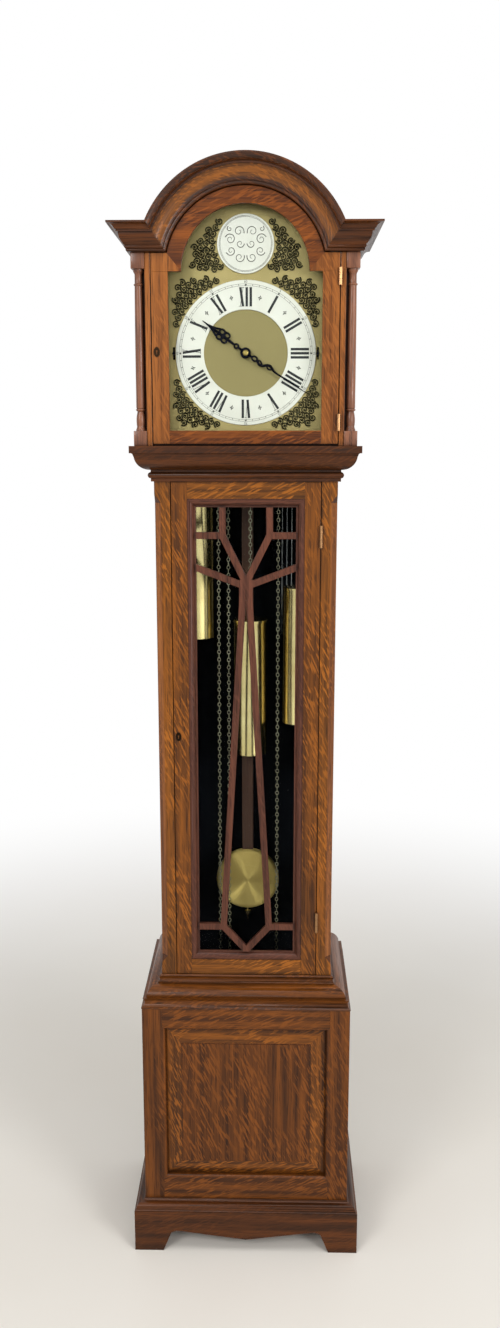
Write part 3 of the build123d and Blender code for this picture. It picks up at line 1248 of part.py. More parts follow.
def build_chime():
    """Rods in their block on the backboard, and the hammers that strike them."""
    places = chime_places()
    foot = SEAT_TOP + CHIME_BLOCK_RISE
    limits = (places[0] - CHIME_PITCH, places[-1] + CHIME_PITCH)
    holder = block(limits, (CHIME_Y - BOARD, BACKBOARD_Y), (foot, foot + CHIME_BLOCK_H))
    rods = [
        rod_z(CHIME_ROD_R, x, CHIME_Y, (foot - CHIME_ROD_L + index * CHIME_ROD_STEP, foot))
        for index, x in enumerate(places)
    ]
    node("chime_rods", holder, *rods)

    bar_z = hammer_bar_z()
    head_z = bar_z - HAMMER_HEAD_DROP
    face = CHIME_Y - CHIME_ROD_R - HAMMER_REST
    bar_x = (limits[0] - PLATE_T / 2, limits[1] + PLATE_T / 2)
    bar = along_x(Pos(HAMMER_ARBOR_Y, bar_z) * disc(ARBOR_R), bar_x)
    for x in places:
        head_y = face - HAMMER_HEAD_L / 2
        arm = [
            (HAMMER_ARBOR_Y - 3, bar_z + 3),
            (HAMMER_ARBOR_Y + 3, bar_z + 3),
            (head_y + 2, head_z),
            (head_y - 2, head_z),
        ]
        bar += along_x(outline(arm), (x - 1, x + 1))
        bar += rod_y(HAMMER_HEAD_R, x, (face - HAMMER_HEAD_L, face), head_z)
    node("chime_hammers", bar)


def build_clock():
    """Build every piece, from the floor up."""
    build_plinth()
    build_base()
    build_trunk()
    build_trunk_door()
    build_hood()
    build_hood_door()
    build_dial()
    motion = build_hands()
    build_movement(*motion)
    build_drive()
    build_pendulum()
    build_chime()


build_clock()
os.makedirs("parts", exist_ok=True)
for piece_name, piece_solids in NODES.items():
    solids = [solid for piece in piece_solids for solid in piece.solids()]
    export_step(Compound(solids), f"parts/{piece_name}.step")
print(len(NODES), "nodes", sum(len(piece) for piece in NODES.values()), "pieces")
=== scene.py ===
# %% [markdown]
# # An oak longcase clock, dressed
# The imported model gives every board, wheel and weight its place and its joint.
# This lesson loads it, gives each piece the finish of the real one, and makes the
# fine work that the solids leave plain: the turned columns, the arch moulding, the
# dial with its numerals and scrollwork, the hands, the weights, the bob and the chains.

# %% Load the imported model
import json
import math

import bmesh
import bpy
from mathutils import Matrix, Vector

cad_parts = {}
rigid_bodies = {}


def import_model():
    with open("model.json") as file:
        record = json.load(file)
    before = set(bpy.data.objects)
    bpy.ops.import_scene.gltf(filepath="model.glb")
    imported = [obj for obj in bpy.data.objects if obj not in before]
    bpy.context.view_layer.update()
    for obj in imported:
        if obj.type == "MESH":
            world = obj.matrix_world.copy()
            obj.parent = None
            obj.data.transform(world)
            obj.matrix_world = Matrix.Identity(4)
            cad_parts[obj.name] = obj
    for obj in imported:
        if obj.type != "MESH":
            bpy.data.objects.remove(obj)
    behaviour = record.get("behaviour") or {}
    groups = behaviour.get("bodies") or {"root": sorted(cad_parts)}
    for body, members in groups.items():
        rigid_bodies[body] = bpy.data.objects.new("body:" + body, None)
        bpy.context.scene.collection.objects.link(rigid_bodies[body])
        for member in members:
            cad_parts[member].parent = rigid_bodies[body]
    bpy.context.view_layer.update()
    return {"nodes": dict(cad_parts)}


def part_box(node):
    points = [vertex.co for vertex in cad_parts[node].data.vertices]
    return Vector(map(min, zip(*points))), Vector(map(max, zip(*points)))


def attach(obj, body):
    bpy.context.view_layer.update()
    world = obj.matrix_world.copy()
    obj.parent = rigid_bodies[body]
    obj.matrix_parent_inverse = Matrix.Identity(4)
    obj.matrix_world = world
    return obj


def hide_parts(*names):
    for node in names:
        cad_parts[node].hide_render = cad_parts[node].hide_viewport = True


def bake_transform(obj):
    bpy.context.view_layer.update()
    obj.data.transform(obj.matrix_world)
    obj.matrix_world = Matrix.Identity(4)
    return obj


for leftover in list(bpy.data.objects):
    bpy.data.objects.remove(leftover)
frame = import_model()
MM = 0.001

# %% [markdown]
# ## Colour and nodes
# Colours are written as sRGB hex values, as a paint chart gives them. Shader sockets want
# linear light, so one function turns one into the other. A second small function adds a shader
# node, sets what it is told, links what it is given and hands back the output that is wanted.

# %% Colour and node helpers
# Sockets of a Mix node that is set to colours.
MIX_A, MIX_B, MIX_OUT = 6, 7, 2


def linear(hex_colour):
    """Linear RGBA of an sRGB hex colour."""
    shares = [int(hex_colour[start:start + 2], 16) / 255 for start in (1, 3, 5)]
    return [s / 12.92 if s <= 0.04045 else ((s + 0.055) / 1.055) ** 2.4 for s in shares] + [1.0]


def add(tree, kind, inputs, out=0, **settings):
    """Add a shader node with values or links for its inputs, and give one of its outputs."""
    node = tree.nodes.new("ShaderNode" + kind)
    for name, value in settings.items():
        setattr(node, name, value)
    for socket, value in inputs.items():
        if isinstance(value, bpy.types.NodeSocket):
            tree.links.new(value, node.inputs[socket])
        else:
            node.inputs[socket].default_value = value
    return node.outputs[out] if node.outputs else None


def blank_material(name):
    """A material with an empty node tree, and that tree."""
    material = bpy.data.materials.new(name)
    material.use_nodes = True
    material.node_tree.nodes.clear()
    return material, material.node_tree


print("linear mid grey is", [round(share, 3) for share in linear("#808080")])

# %% [markdown]
# ## Oak
# The case is quarter-sawn oak under brown stain and a rubbed varnish. The eye gets long dark
# pores along the grain, broad slow bands from the growth rings, pale ray flecks that cross the
# grain at a slant, and painted shade in the inside corners. The pores of oak are 0.3 mm wide, which
# this picture can't show, so they are drawn 1.6 mm wide. One function makes every board: a
# Mapping node lays the grain along X, Y or Z, and on the arch the grain runs round the curve.

# %% Oak boards
ARCH_Z = 1.7765
GRAIN_TURN = {"x": (0, math.pi / 2, 0), "y": (math.pi / 2, 0, 0), "z": (0, 0, 0)}
FLECK_SLANT = math.radians(24)
FLECK_LIFT = 1.35
# Reach of the painted shade that darkens the inside corners.
CORNER_SHADE_REACH = 14 * MM
# Width, length along the grain and noise detail of each figure of the wood.
FIGURES = {
    "bands": (11 * MM, 420 * MM, 2.0),
    "patches": (70 * MM, 175 * MM, 1.0),
    "pores": (1.6 * MM, 45 * MM, 2.0),
    "flecks": (3.0 * MM, 22 * MM, 1.0),
}


def oak(name, tones, grain, fleck, polish=1.0):
    """Varnished oak with its grain along an axis, or round the arch."""
    material, tree = blank_material(name)
    pale, mid, dark = [linear(tone) for tone in tones]
    place = add(tree, "TexCoord", {}, out="Object")
    if grain == "arch":
        parts = add(tree, "SeparateXYZ", {0: place}).node.outputs
        rise = add(tree, "Math", {0: parts[2], 1: ARCH_Z}, operation="SUBTRACT")
        sweep = add(tree, "Math", {0: parts[0], 1: rise}, operation="ARCTAN2")
        flat = add(tree, "CombineXYZ", {0: parts[0], 1: rise})
        radius = add(tree, "VectorMath", {0: flat}, operation="LENGTH", out="Value")
        length = add(tree, "Math", {0: sweep, 1: radius}, operation="MULTIPLY")
        board = add(tree, "CombineXYZ", {0: radius, 1: parts[1], 2: length})
    else:
        board = add(tree, "Mapping", {0: place, "Rotation": GRAIN_TURN[grain]})
    slanted = add(tree, "Mapping", {0: board, "Rotation": (0, FLECK_SLANT, 0)})
    drawn = {}
    for figure, (across, along, detail) in FIGURES.items():
        source = slanted if figure == "flecks" else board
        stretch = (1 / across, 1 / across, 1 / along)
        stretched = add(tree, "Mapping", {0: source, "Scale": stretch})
        noise = {"Vector": stretched, "Scale": 1.0, "Detail": detail}
        drawn[figure] = add(tree, "TexNoise", noise)
    # Painted shade: ambient occlusion darkens the wood towards its dark tone in the inside corners.
    near = {"Distance": CORNER_SHADE_REACH}
    drawn["corner_shade"] = add(tree, "AmbientOcclusion", near, out="AO", samples=3)
    # Flecks come and go with the patches, and shine a little above the pale tone.
    patchy = {0: drawn["patches"], 1: 0.36, 2: 0.56, 3: 0.0, 4: fleck}
    shown = add(tree, "MapRange", patchy)
    ray = [FLECK_LIFT * share for share in pale[:3]] + [1.0]
    # Each layer of colour follows a figure from a start to an end, and covers up to a share.
    layers = (("bands", 0.34, 0.66, 1.0, pale), ("patches", 0.35, 0.7, 0.45, mid),
              ("pores", 0.5, 0.72, 0.75, dark), ("flecks", 0.52, 0.62, shown, ray),
              ("corner_shade", 0.85, 0.25, 0.8, dark))
    colour = mid
    for figure, start, end, most, tone in layers:
        reach = {0: drawn[figure], 1: start, 2: end, 3: 0.0, 4: most}
        colours = {0: add(tree, "MapRange", reach), MIX_A: colour, MIX_B: tone}
        colour = add(tree, "Mix", colours, MIX_OUT, data_type="RGBA")
    pores = drawn["pores"]
    rough = add(tree, "MapRange", {0: pores, 1: 0.3, 2: 0.8, 3: 0.30, 4: 0.48})
    relief = {"Strength": 0.25, "Distance": 0.3 * MM, "Height": pores}
    shader = add(tree, "BsdfPrincipled", {
        "Base Color": colour, "Roughness": rough, "IOR": 1.5,
        "Normal": add(tree, "Bump", relief),
        "Specular IOR Level": 0.2 * polish, "Coat Weight": 0.06 * polish, "Coat Roughness": 0.12})
    add(tree, "OutputMaterial", {0: shader})
    return material


print("figures of the oak:", ", ".join(FIGURES))

# %% Oak tones
# Case oak is golden brown, the hood is stained redder between pale stiles, the base and mouldings
# are darker, and the glazing bars and turned columns are a redder wood with little fleck.
# A row gives the pale, middle and dark tones, how much fleck shows, and the grains in use.
OAK_TONES = {
    "case": ("#99591a", "#54300d", "#170a04", 0.75, "xz"),
    "door": ("#8c5017", "#4a280b", "#150904", 0.75, "xz"),
    "stile": ("#a8652c", "#6c3b16", "#1e0d05", 0.3, "z"),
    "hood": ("#8c4b17", "#4e260c", "#170904", 0.5, "xz"),
    "base": ("#7c4413", "#432208", "#120803", 0.6, "xyz"),
    "moulding": ("#643512", "#3a1d08", "#110702", 0.3, "xyz"),
    "red": ("#6b3f2e", "#4b2a1e", "#1c0d09", 0.3, "xz"),
}
TURNED_TONES = ("#965f40", "#6c412b", "#28130b")
OAK = {}
for tone, (*hexes, fleck, grains) in OAK_TONES.items():
    for grain in grains:
        OAK[tone, grain] = oak(f"varnished_oak_{tone}_{grain}", hexes, grain, fleck)
for tone in ("case", "moulding"):
    hexes = OAK_TONES[tone][:3]
    OAK[tone, "arch"] = oak(f"varnished_oak_{tone}_arch", hexes, "arch", fleck=0.6, polish=1.5)
OAK["turned", "z"] = oak("polished_turned_oak", TURNED_TONES, "z", fleck=0.2, polish=2.0)
print("oak finishes:", len(OAK))

# %% [markdown]
# ## Boards and their grain
# A joiner runs the grain along each board: up the stiles, across the rails, along the front of a
# moulding and back along its returns. A node holds several boards, so each of its faces is
# given the finish of the board it lies on, chosen by where it is. The corners of real boards are
# rounded by sanding, so modifiers put a small bevel on each node, and its mesh stays as packed.

# %% Dressing and sanding
SANDED = 0.8 * MM


def dress(node, materials, choose=None):
    """Give a node its finishes; choose picks one by the middle and direction of a face."""
    mesh = frame["nodes"][node].data
    mesh.materials.clear()
    for material in materials:
        mesh.materials.append(material)
    picks = [choose(p.center, p.normal) if choose else 0 for p in mesh.polygons]
    mesh.polygons.foreach_set("material_index", [int(pick) for pick in picks])


def sand(node, width=SANDED):
    """Round the sharp corners of a node with modifiers."""
    board = frame["nodes"][node]
    weld = board.modifiers.new("joined_facets", "WELD")
    weld.merge_threshold = 0.01 * MM
    soft = board.modifiers.new("sanded_corners", "BEVEL")
    soft.width = width
    soft.segments = 2
    soft.limit_method = "ANGLE"
    soft.angle_limit = math.radians(38)
    soft.use_clamp_overlap = True


print("corners sanded to", SANDED / MM, "mm")

# %% Boards of the case
trunk_low, trunk_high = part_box("trunk_front_frame")
base_low, base_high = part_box("base_front_frame")
hood_low, hood_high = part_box("hood_columns")
TRUNK_HALF, BASE_HALF, HOOD_HALF = trunk_high[0], base_high[0], hood_high[0]
DOOR_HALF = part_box("trunk_door_frame")[1][0]
BASE_STILE, TRUNK_STILE = 36.6 * MM, 27.1 * MM
PANEL_HALF, WINDOW_HALF = 140 * MM, 86.1 * MM
HOOD_OPENING, DIAL_OPENING = 150 * MM, 125.1 * MM
# How much of a unit normal counts as facing a way, or as leaning that way.
FACING, STOP_LEAN, FIELD_LEAN = 0.5, 0.3, 0.1


def framed(stile, rail, opening):
    """Uprights outside an opening's half width, rails inside it."""
    return [OAK[stile, "z"], OAK[rail, "x"]], lambda middle, normal: abs(middle.x) < opening


def mitred(tone, half, front):
    """Front run along X, returns along Y, divided at the mitres."""
    runs = [OAK[tone, "x"], OAK[tone, "y"]]
    return runs, lambda middle, normal: abs(middle.x) - half > front - middle.y


def chamfered(middle, normal):
    """Stiles and rails, or chamfers in the pale stile tone as a painted reflection, and their dark
    stops.
    """
    if min(abs(normal.x), abs(normal.y)) > FACING:
        # Chamfers take the pale stile tone, a painted reflection along the edge; the stops take the
        # dark tone.
        return 3 if abs(normal.z) > STOP_LEAN else 2
    return abs(middle.x) < TRUNK_HALF - TRUNK_STILE


def fielded(middle, normal):
    """Raised field, slopes with grain along them, and a dark step between."""
    if normal.y > -FACING:
        return 3
    return 1 if abs(normal.x) > FIELD_LEAN else 2 if abs(normal.z) > FIELD_LEAN else 0


# The pale stile finish here is a painted reflection on the chamfers.
trunk_boards = [OAK["case", "z"], OAK["case", "x"], OAK["stile", "z"], OAK["moulding", "z"]]
panel_boards = [OAK["base", "z"], OAK["door", "z"], OAK["door", "x"], OAK["moulding", "z"]]
BOARD_FINISH = {
    "plinth_boards": mitred("moulding", BASE_HALF, base_low[1]),
    "plinth_moulding": mitred("moulding", BASE_HALF, base_low[1]),
    "base_carcass": ([OAK["base", "z"]], None),
    "base_front_frame": framed("base", "base", BASE_HALF - BASE_STILE),
    "base_panel_bead": framed("base", "base", PANEL_HALF),
    "base_panel": (panel_boards, fielded),
    "base_top_moulding": mitred("base", TRUNK_HALF, trunk_low[1]),
    "trunk_front_frame": (trunk_boards, chamfered),
    "trunk_door_frame": framed("door", "case", DOOR_HALF - TRUNK_STILE),
    "trunk_door_moulding": framed("red", "red", WINDOW_HALF),
    "trunk_glazing_bars": ([OAK["red", "z"]], None),
    "throat_moulding": mitred("moulding", TRUNK_HALF, trunk_low[1]),
    "hood_front_frame": framed("stile", "hood", HOOD_OPENING),
    "hood_door_frame": framed("stile", "hood", DIAL_OPENING),
    "hood_cornice": mitred("moulding", HOOD_HALF, hood_low[1]),
    "hood_roof": ([OAK["moulding", "y"]], None),
}
SHARP_EDGED = ("plinth_boards", "base_carcass", "hood_roof")
for node, (finishes, choose) in BOARD_FINISH.items():
    dress(node, finishes, choose)
    if node not in SHARP_EDGED:
        sand(node)
print("boards dressed:", len(BOARD_FINISH))

# %% [markdown]
# ## Inside the case
# The inside of the case is coloured near black, a painted shade, so that only the brass shows
# through the glass. Side boards are varnished outside, and the faces that look inwards get the
# painted shade.
# The pendulum rod is a plain lath, stained brown and waxed, with a low shine.

# %% Stained boards and the painted-shade board
STAINED_PORE = 1.5 * MM


def stained(name, face, pore, grain_length, shine):
    """Wood of one even colour, with faint long pores."""
    material, tree = blank_material(name)
    place = add(tree, "TexCoord", {}, out="Object")
    stretch = (1 / STAINED_PORE, 1 / STAINED_PORE, 1 / grain_length)
    board = add(tree, "Mapping", {0: place, "Scale": stretch})
    pores = add(tree, "TexNoise", {"Vector": board, "Scale": 1.0, "Detail": 3.0})
    colours = {0: pores, MIX_A: linear(pore), MIX_B: linear(face)}
    colour = add(tree, "Mix", colours, MIX_OUT, data_type="RGBA")
    shader = add(tree, "BsdfPrincipled", {
        "Base Color": colour, "Roughness": shine, "IOR": 1.5, "Specular IOR Level": 0.2})
    add(tree, "OutputMaterial", {0: shader})
    return material


def inward(middle, normal):
    """Faces of the side boards that look into the case."""
    return normal.x * middle.x < 0


# Painted shade: the boards inside the case are coloured near black for the shade that fills it.
painted_shade_board = stained("black_painted_shade_board", "#0a0d16", "#05060a", 80 * MM, 0.85)
bare_board = stained("unfinished_backboard", "#7d6446", "#5b452d", 90 * MM, 0.7)
waxed_lath = stained("waxed_pendulum_lath", "#5b3f2f", "#34211a", 70 * MM, 0.42)
dress("trunk_sides", [OAK["case", "z"], painted_shade_board], inward)
dress("hood_sides", [OAK["hood", "z"], painted_shade_board], inward)
# The backboard's face into the case gets the painted shade; its back stays bare wood.
dress("backboard", [bare_board, painted_shade_board], lambda middle, normal: normal.y < -FACING)
dress("seat_board", [painted_shade_board])
dress("pendulum_rod", [waxed_lath])
for node in ("trunk_sides", "hood_sides", "pendulum_rod"):
    sand(node)
print("stained boards: 5 nodes")

# %% [markdown]
# ## Metals
# Brass on a clock wears many finishes: drawn tube for the weights, rolled plate for the movement,
# dulled castings at the dial's corners, rubbed hinges, a blackened escutcheon. They and the steel
# share one recipe: a bright and a dulled colour mixed by a slow noise, fine marks left by the making,
# and a roughness that follows those marks. Metals keep the default IOR and a metallic of 1.

# %% Metal recipe
# Size of the tarnish patches, reach of the painted shade in crevices, and that shade's colour.
TARNISH_PATCH, CREVICE_SHADE_REACH = 60 * MM, 4 * MM
CREVICE_SHADE_TONE = "#15120c"


def metal(name, bright, dulled, shine, marks_mm, dull_share=0.5, crevice_shade=0.0):
    """Metal with marks of a size (X, Y, Z), a slow change from bright to dulled, and a share of painted
    shade in its crevices.
    """
    material, tree = blank_material(name)
    place = add(tree, "TexCoord", {}, out="Object")
    stretch = [1 / (mark * MM) for mark in marks_mm]
    drawn = add(tree, "Mapping", {0: place, "Scale": stretch})
    lines = add(tree, "TexNoise", {"Vector": drawn, "Scale": 1.0, "Detail": 2.0})
    slow = {"Vector": place, "Scale": 1 / TARNISH_PATCH, "Detail": 3.0}
    cloud = add(tree, "TexNoise", slow)
    aged = add(tree, "MapRange", {0: cloud, 1: 0.35, 2: 0.7, 3: 0.0, 4: dull_share})
    layers = [(aged, dulled)]
    # Painted shade: ambient occlusion darkens crevices towards near black, by up to the given share.
    if crevice_shade:
        reach = {"Distance": CREVICE_SHADE_REACH}
        near = add(tree, "AmbientOcclusion", reach, out="AO", samples=3)
        crevice_shaded = add(tree, "MapRange", {0: near, 1: 0.9, 2: 0.3, 3: 0.0, 4: crevice_shade})
        layers.append((crevice_shaded, CREVICE_SHADE_TONE))
    colour = linear(bright)
    for share, tone in layers:
        colours = {0: share, MIX_A: colour, MIX_B: linear(tone)}
        colour = add(tree, "Mix", colours, MIX_OUT, data_type="RGBA")
    spread = {0: lines, 1: 0.25, 2: 0.75, 3: 0.7 * shine, 4: 1.3 * shine}
    rough = add(tree, "MapRange", spread)
    bump = add(tree, "Bump", {"Strength": 0.12, "Distance": 0.1 * MM, "Height": lines})
    shader = add(tree, "BsdfPrincipled", {
        "Base Color": colour, "Metallic": 1.0, "Roughness": rough, "Normal": bump})
    add(tree, "OutputMaterial", {0: shader})
    return material


drawn_brass = metal("drawn_brass_tube", "#e8d498", "#b59a58", 0.2, (1, 1, 90))
plate_brass = metal("rolled_brass_plate", "#cdb26a", "#8d7840", 0.34, (2, 2, 40))
# The casting and the escutcheon take painted shade in their crevices, given by the last number.
cast_brass = metal("antiqued_brass_casting", "#4e4a35", "#211f16", 0.36, (3, 3, 3), 0.8, 0.9)
hinge_brass = metal("worn_hinge_brass", "#9c7550", "#654a30", 0.3, (2, 2, 12))
old_brass = metal("blackened_escutcheon_brass", "#33261a", "#140e08", 0.4, (2, 2, 2), 0.8, 0.9)
chain_brass = metal("dulled_chain_brass", "#9a957c", "#66614f", 0.34, (3, 3, 3), 0.8)
blued_steel = metal("blued_steel", "#1c1c24", "#101014", 0.36, (4, 4, 4))
bright_steel = metal("ground_steel", "#b4b4b2", "#7e7e7c", 0.28, (1, 1, 40))
print("metals: 6 of brass and 2 of steel")

# %% Metal nodes
METAL_NODES = {
    plate_brass: ("movement_frame", "train_wheels", "hour_wheel", "minute_wheel", "cannon_pinion",
                  "sprocket_left", "sprocket_centre", "sprocket_right"),
    hinge_brass: ("trunk_hinge_leaves", "hood_hinge_leaves"),
    chain_brass: ("chain_wraps",),
    blued_steel: ("strike_lever", "chime_lever"),
    bright_steel: ("suspension_spring", "anchor_crutch", "chime_hammers"),
}
for finish, names in METAL_NODES.items():
    for node in names:
        dress(node, [finish])
# The doors hang on the right, so fittings on the left are the escutcheon and lock.
for node in ("trunk_door_fittings", "hood_door_fittings"):
    dress(node, [hinge_brass, old_brass], lambda middle, normal: middle.x < 0)
BLOCK_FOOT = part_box("chime_rods")[1][2] - 36 * MM
# The block above the rods takes the painted shade of the case inside.
dress("chime_rods", [bright_steel, painted_shade_board], lambda middle, normal: middle.z > BLOCK_FOOT)
print("metal nodes:", sum(len(names) for names in METAL_NODES.values()) + 3)

# %% [markdown]
# ## Glass
# Both doors hold thin drawn glass. Light passes nearly straight through it, so lamps are let through
# by a Transparent shader for shadow rays, and what the eye sees is a clear pane with a faint wave.
# A white studio would lie on the pane as a veil, so a black specular tint takes out what it
# reflects square on, and its reflections at a glancing angle stay.

# %% Window glass
GLASS_WAVE = 160 * MM
glass, tree = blank_material("drawn_window_glass")
place = add(tree, "TexCoord", {}, out="Object")
wave = add(tree, "TexNoise", {"Vector": place, "Scale": 1 / GLASS_WAVE, "Detail": 0.0})
ripple = add(tree, "Bump", {"Strength": 0.05, "Distance": 0.3 * MM, "Height": wave})
pane = add(tree, "BsdfPrincipled", {
    "Base Color": linear("#f4f8f8"), "Roughness": 0.02, "IOR": 1.45,
    "Transmission Weight": 1.0, "Specular Tint": linear("#000000"), "Normal": ripple})
passing = add(tree, "BsdfTransparent", {"Color": linear("#f4f8f8")})
is_lamp = add(tree, "LightPath", {}, out="Is Shadow Ray")
both = add(tree, "MixShader", {0: is_lamp, 1: pane, 2: passing})
add(tree, "OutputMaterial", {0: both})
for node in ("trunk_door_glass", "hood_door_glass"):
    dress(node, [glass])
print("glazed: 2 doors")

# %% [markdown]
# ## New pieces
# A finished piece sits at the origin with its place in its mesh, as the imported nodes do. One
# function merges a bmesh's doubles, shades it smooth up to its sharp edges and sets it on its body.
# Another turns an outline on the lathe: it draws the outline beside an axis and spins it round.
# Outlines are easiest to read in millimetres, so a third turns them into metres.

# %% Piece helpers
SHARP = math.radians(40)
UP, FORWARD, BACKWARD = Vector((0, 0, 1)), Vector((0, -1, 0)), Vector((0, 1, 0))
OUT = Vector((1, 0, 0))


def keep(bm, name, material, body, replaced=()):
    """Make a bmesh a named piece that rides on a body."""
    bmesh.ops.remove_doubles(bm, verts=bm.verts, dist=0.005 * MM)
    bmesh.ops.recalc_face_normals(bm, faces=bm.faces)
    for face in bm.faces:
        face.smooth = True
    for edge in bm.edges:
        edge.smooth = len(edge.link_faces) != 2 or edge.calc_face_angle(0) < SHARP
    mesh = bpy.data.meshes.new(name)
    bm.to_mesh(mesh)
    bm.free()
    mesh.materials.append(material)
    piece = bpy.data.objects.new(name, mesh)
    bpy.context.scene.collection.objects.link(piece)
    if body:
        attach(piece, body)
    if replaced:
        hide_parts(*replaced)
    return piece


def metres(outline_mm):
    """Pairs of millimetres as pairs of metres."""
    return [(r * MM, along * MM) for r, along in outline_mm]


def turn(bm, outline, centre, axis, steps, angle=2 * math.pi):
    """Spin an outline of (distance from the axis, distance along it) round an axis."""
    centre = Vector(centre)
    points = [bm.verts.new(centre + OUT * r + axis * along) for r, along in outline]
    lines = [bm.edges.new(ends) for ends in zip(points, points[1:])]
    bmesh.ops.spin(bm, geom=points + lines, cent=centre, axis=axis, angle=angle,
                   steps=steps, use_merge=angle >= 2 * math.pi)


def bowed(start, end, sagitta, steps=6):
    """Points along a shallow arc, without its start."""
    start, end = Vector(start), Vector(end)
    side = Vector((end - start).yx) * Vector((1, -1))
    side.normalize()
    points = []
    for step in range(1, steps + 1):
        share = step / steps
        points.append(tuple(start.lerp(end, share) + side * sagitta * 4 * share * (1 - share)))
    return points


print("sharp edges from", round(math.degrees(SHARP)), "degrees")

# %% [markdown]
# ## Hood columns
# Each column is turned between square blocks: a ring and vase at the foot, a slender shaft that
# tapers a little, and a ringed neck. The lathe makes it in one cut, so one spun outline does too.

# %% Turned columns
BLOCK, FOOT_BLOCK_H, HEAD_BLOCK_H, NECK_H = 22 * MM, 24.5 * MM, 25 * MM, 26 * MM
COLUMN_X, COLUMN_Y = hood_high[0] - BLOCK / 2, hood_low[1] + BLOCK / 2
FOOT_Z, HEAD_Z = hood_low[2] + FOOT_BLOCK_H, hood_high[2] - HEAD_BLOCK_H
shaft_top = (HEAD_Z - NECK_H - FOOT_Z) / MM
vase = [(0, 0), (8.2, 0), (8.2, 2.2), (7.6, 3.0), *bowed((6.0, 4.2), (5.4, 31.0), 1.6, 10),
        (6.2, 32.0), *bowed((6.2, 32.2), (6.2, 36.0), 1.8, 5), (6.8, 36.4)]
shaft = [(7.2, 38.0), *bowed((7.0, 40.0), (6.2, shaft_top), 0.4, 10)]
neck = [*bowed((6.2, 0.3), (6.2, 3.8), 1.6, 5), (6.0, 4.6), (5.9, 18.0), (7.0, 20.5),
        (8.2, 22.5), (8.2, 26.0), (0, 26.0)]
outline = metres(vase + shaft + [(r, shaft_top + up) for r, up in neck])
bm = bmesh.new()
for side in (-1, 1):
    turn(bm, outline, (side * COLUMN_X, COLUMN_Y, FOOT_Z), UP, 32)
    for low, high in ((hood_low[2], FOOT_Z), (HEAD_Z, hood_high[2])):
        size = Matrix.Diagonal((BLOCK, BLOCK, high - low, 1))
        place = Matrix.Translation((side * COLUMN_X, COLUMN_Y, (low + high) / 2)) @ size
        block = bmesh.ops.create_cube(bm, size=1.0, matrix=place)["verts"]
        edges = {edge for vert in block for edge in vert.link_edges}
        bmesh.ops.bevel(bm, geom=list(edges), offset=SANDED, segments=2, profile=0.5,
                        affect="EDGES", material=-1)
columns = keep(bm, "turned_hood_columns", OAK["turned", "z"], "hood", ["hood_columns"])
print("columns:", len(columns.data.polygons), "faces")

# %% [markdown]
# ## Arch moulding
# The cornice breaks upwards into a half round over the dial. On the real hood its curve is cut
# from thick oak and moulded with the same section as the straight runs. Here that section is spun
# half way round the arch's centre, and two planes cut it off at the mitres where it meets the
# cornice. Its broad hollow is paler than the members on either side, as the wood there was
# rubbed back.

# %% Spun arch
cornice_low, cornice_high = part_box("hood_cornice")
INNER_R = 131 * MM
CORNICE_H = cornice_high[2] - cornice_low[2]
OUTER_R = INNER_R + CORNICE_H
RISE = cornice_low[2] - ARCH_Z
COVE = (0.23, 0.66)
COVE_FACING = 0.25
top = CORNICE_H / MM
bead, hollow, brow, fillet, crown = [share * top for share in (0.11, *COVE, 0.74, 0.93)]
section = [(0, 4.0), *bowed((0, 4.0), (bead, 6.0), -1.4), *bowed((bead, 6.0), (hollow, 8.0), -1.4),
           *bowed((hollow, 8.0), (brow, 17.0), 2.2, 10), (brow, 20.0), (fillet, 20.0),
           (fillet, 22.0), *bowed((fillet, 22.0), (crown, 33.0), -2.4, 8), (crown, 34.0),
           (top, 34.0), (top, -22.0), (0, -22.0), (0, 4.0)]
bm = bmesh.new()
spun = [(INNER_R + up * MM, over * MM) for up, over in section]
turn(bm, spun, (0, hood_low[1], ARCH_Z), FORWARD, 72, math.pi)
foot_x = math.sqrt(INNER_R**2 - RISE**2)
head_x = math.sqrt(OUTER_R**2 - (RISE + CORNICE_H) ** 2)
for side in (-1, 1):
    point = (side * foot_x, 0, cornice_low[2])
    along = Vector((side * (head_x - foot_x), 0, CORNICE_H))
    cut = bmesh.ops.bisect_plane(bm, geom=bm.verts[:] + bm.edges[:] + bm.faces[:], plane_co=point,
                                 plane_no=(side * along.z, 0, -side * along.x), clear_outer=True)
    rim = [item for item in cut["geom_cut"] if isinstance(item, bmesh.types.BMEdge)]
    bmesh.ops.edgenet_fill(bm, edges=rim)
arch = keep(bm, "spun_arch_moulding", OAK["moulding", "arch"], "hood", ["hood_arch_moulding"])
arch.data.materials.append(OAK["case", "arch"])
for face in arch.data.polygons:
    out = math.hypot(face.center.x, face.center.z - ARCH_Z) - INNER_R
    if COVE[0] < out / CORNICE_H < COVE[1] and face.normal.y < -COVE_FACING:
        face.material_index = 1
print("arch:", len(arch.data.polygons), "faces")

# %% [markdown]
# ## Dial plate and ring
# The dial is a sheet of brass. Its middle, inside the ring, is matted with a punch so that the hands
# read clearly; the rest is grained and lacquered. The chapter ring and the boss in the arch are
# brass rubbed with silvering, which dries to a cream white, brushed round. Both finishes follow
# circles, so they measure the distance from the dial's centre in the shader.

# %% Dial sheet
PUNCH_MARK, DULLED_PATCH = 1.6 * MM, 70 * MM


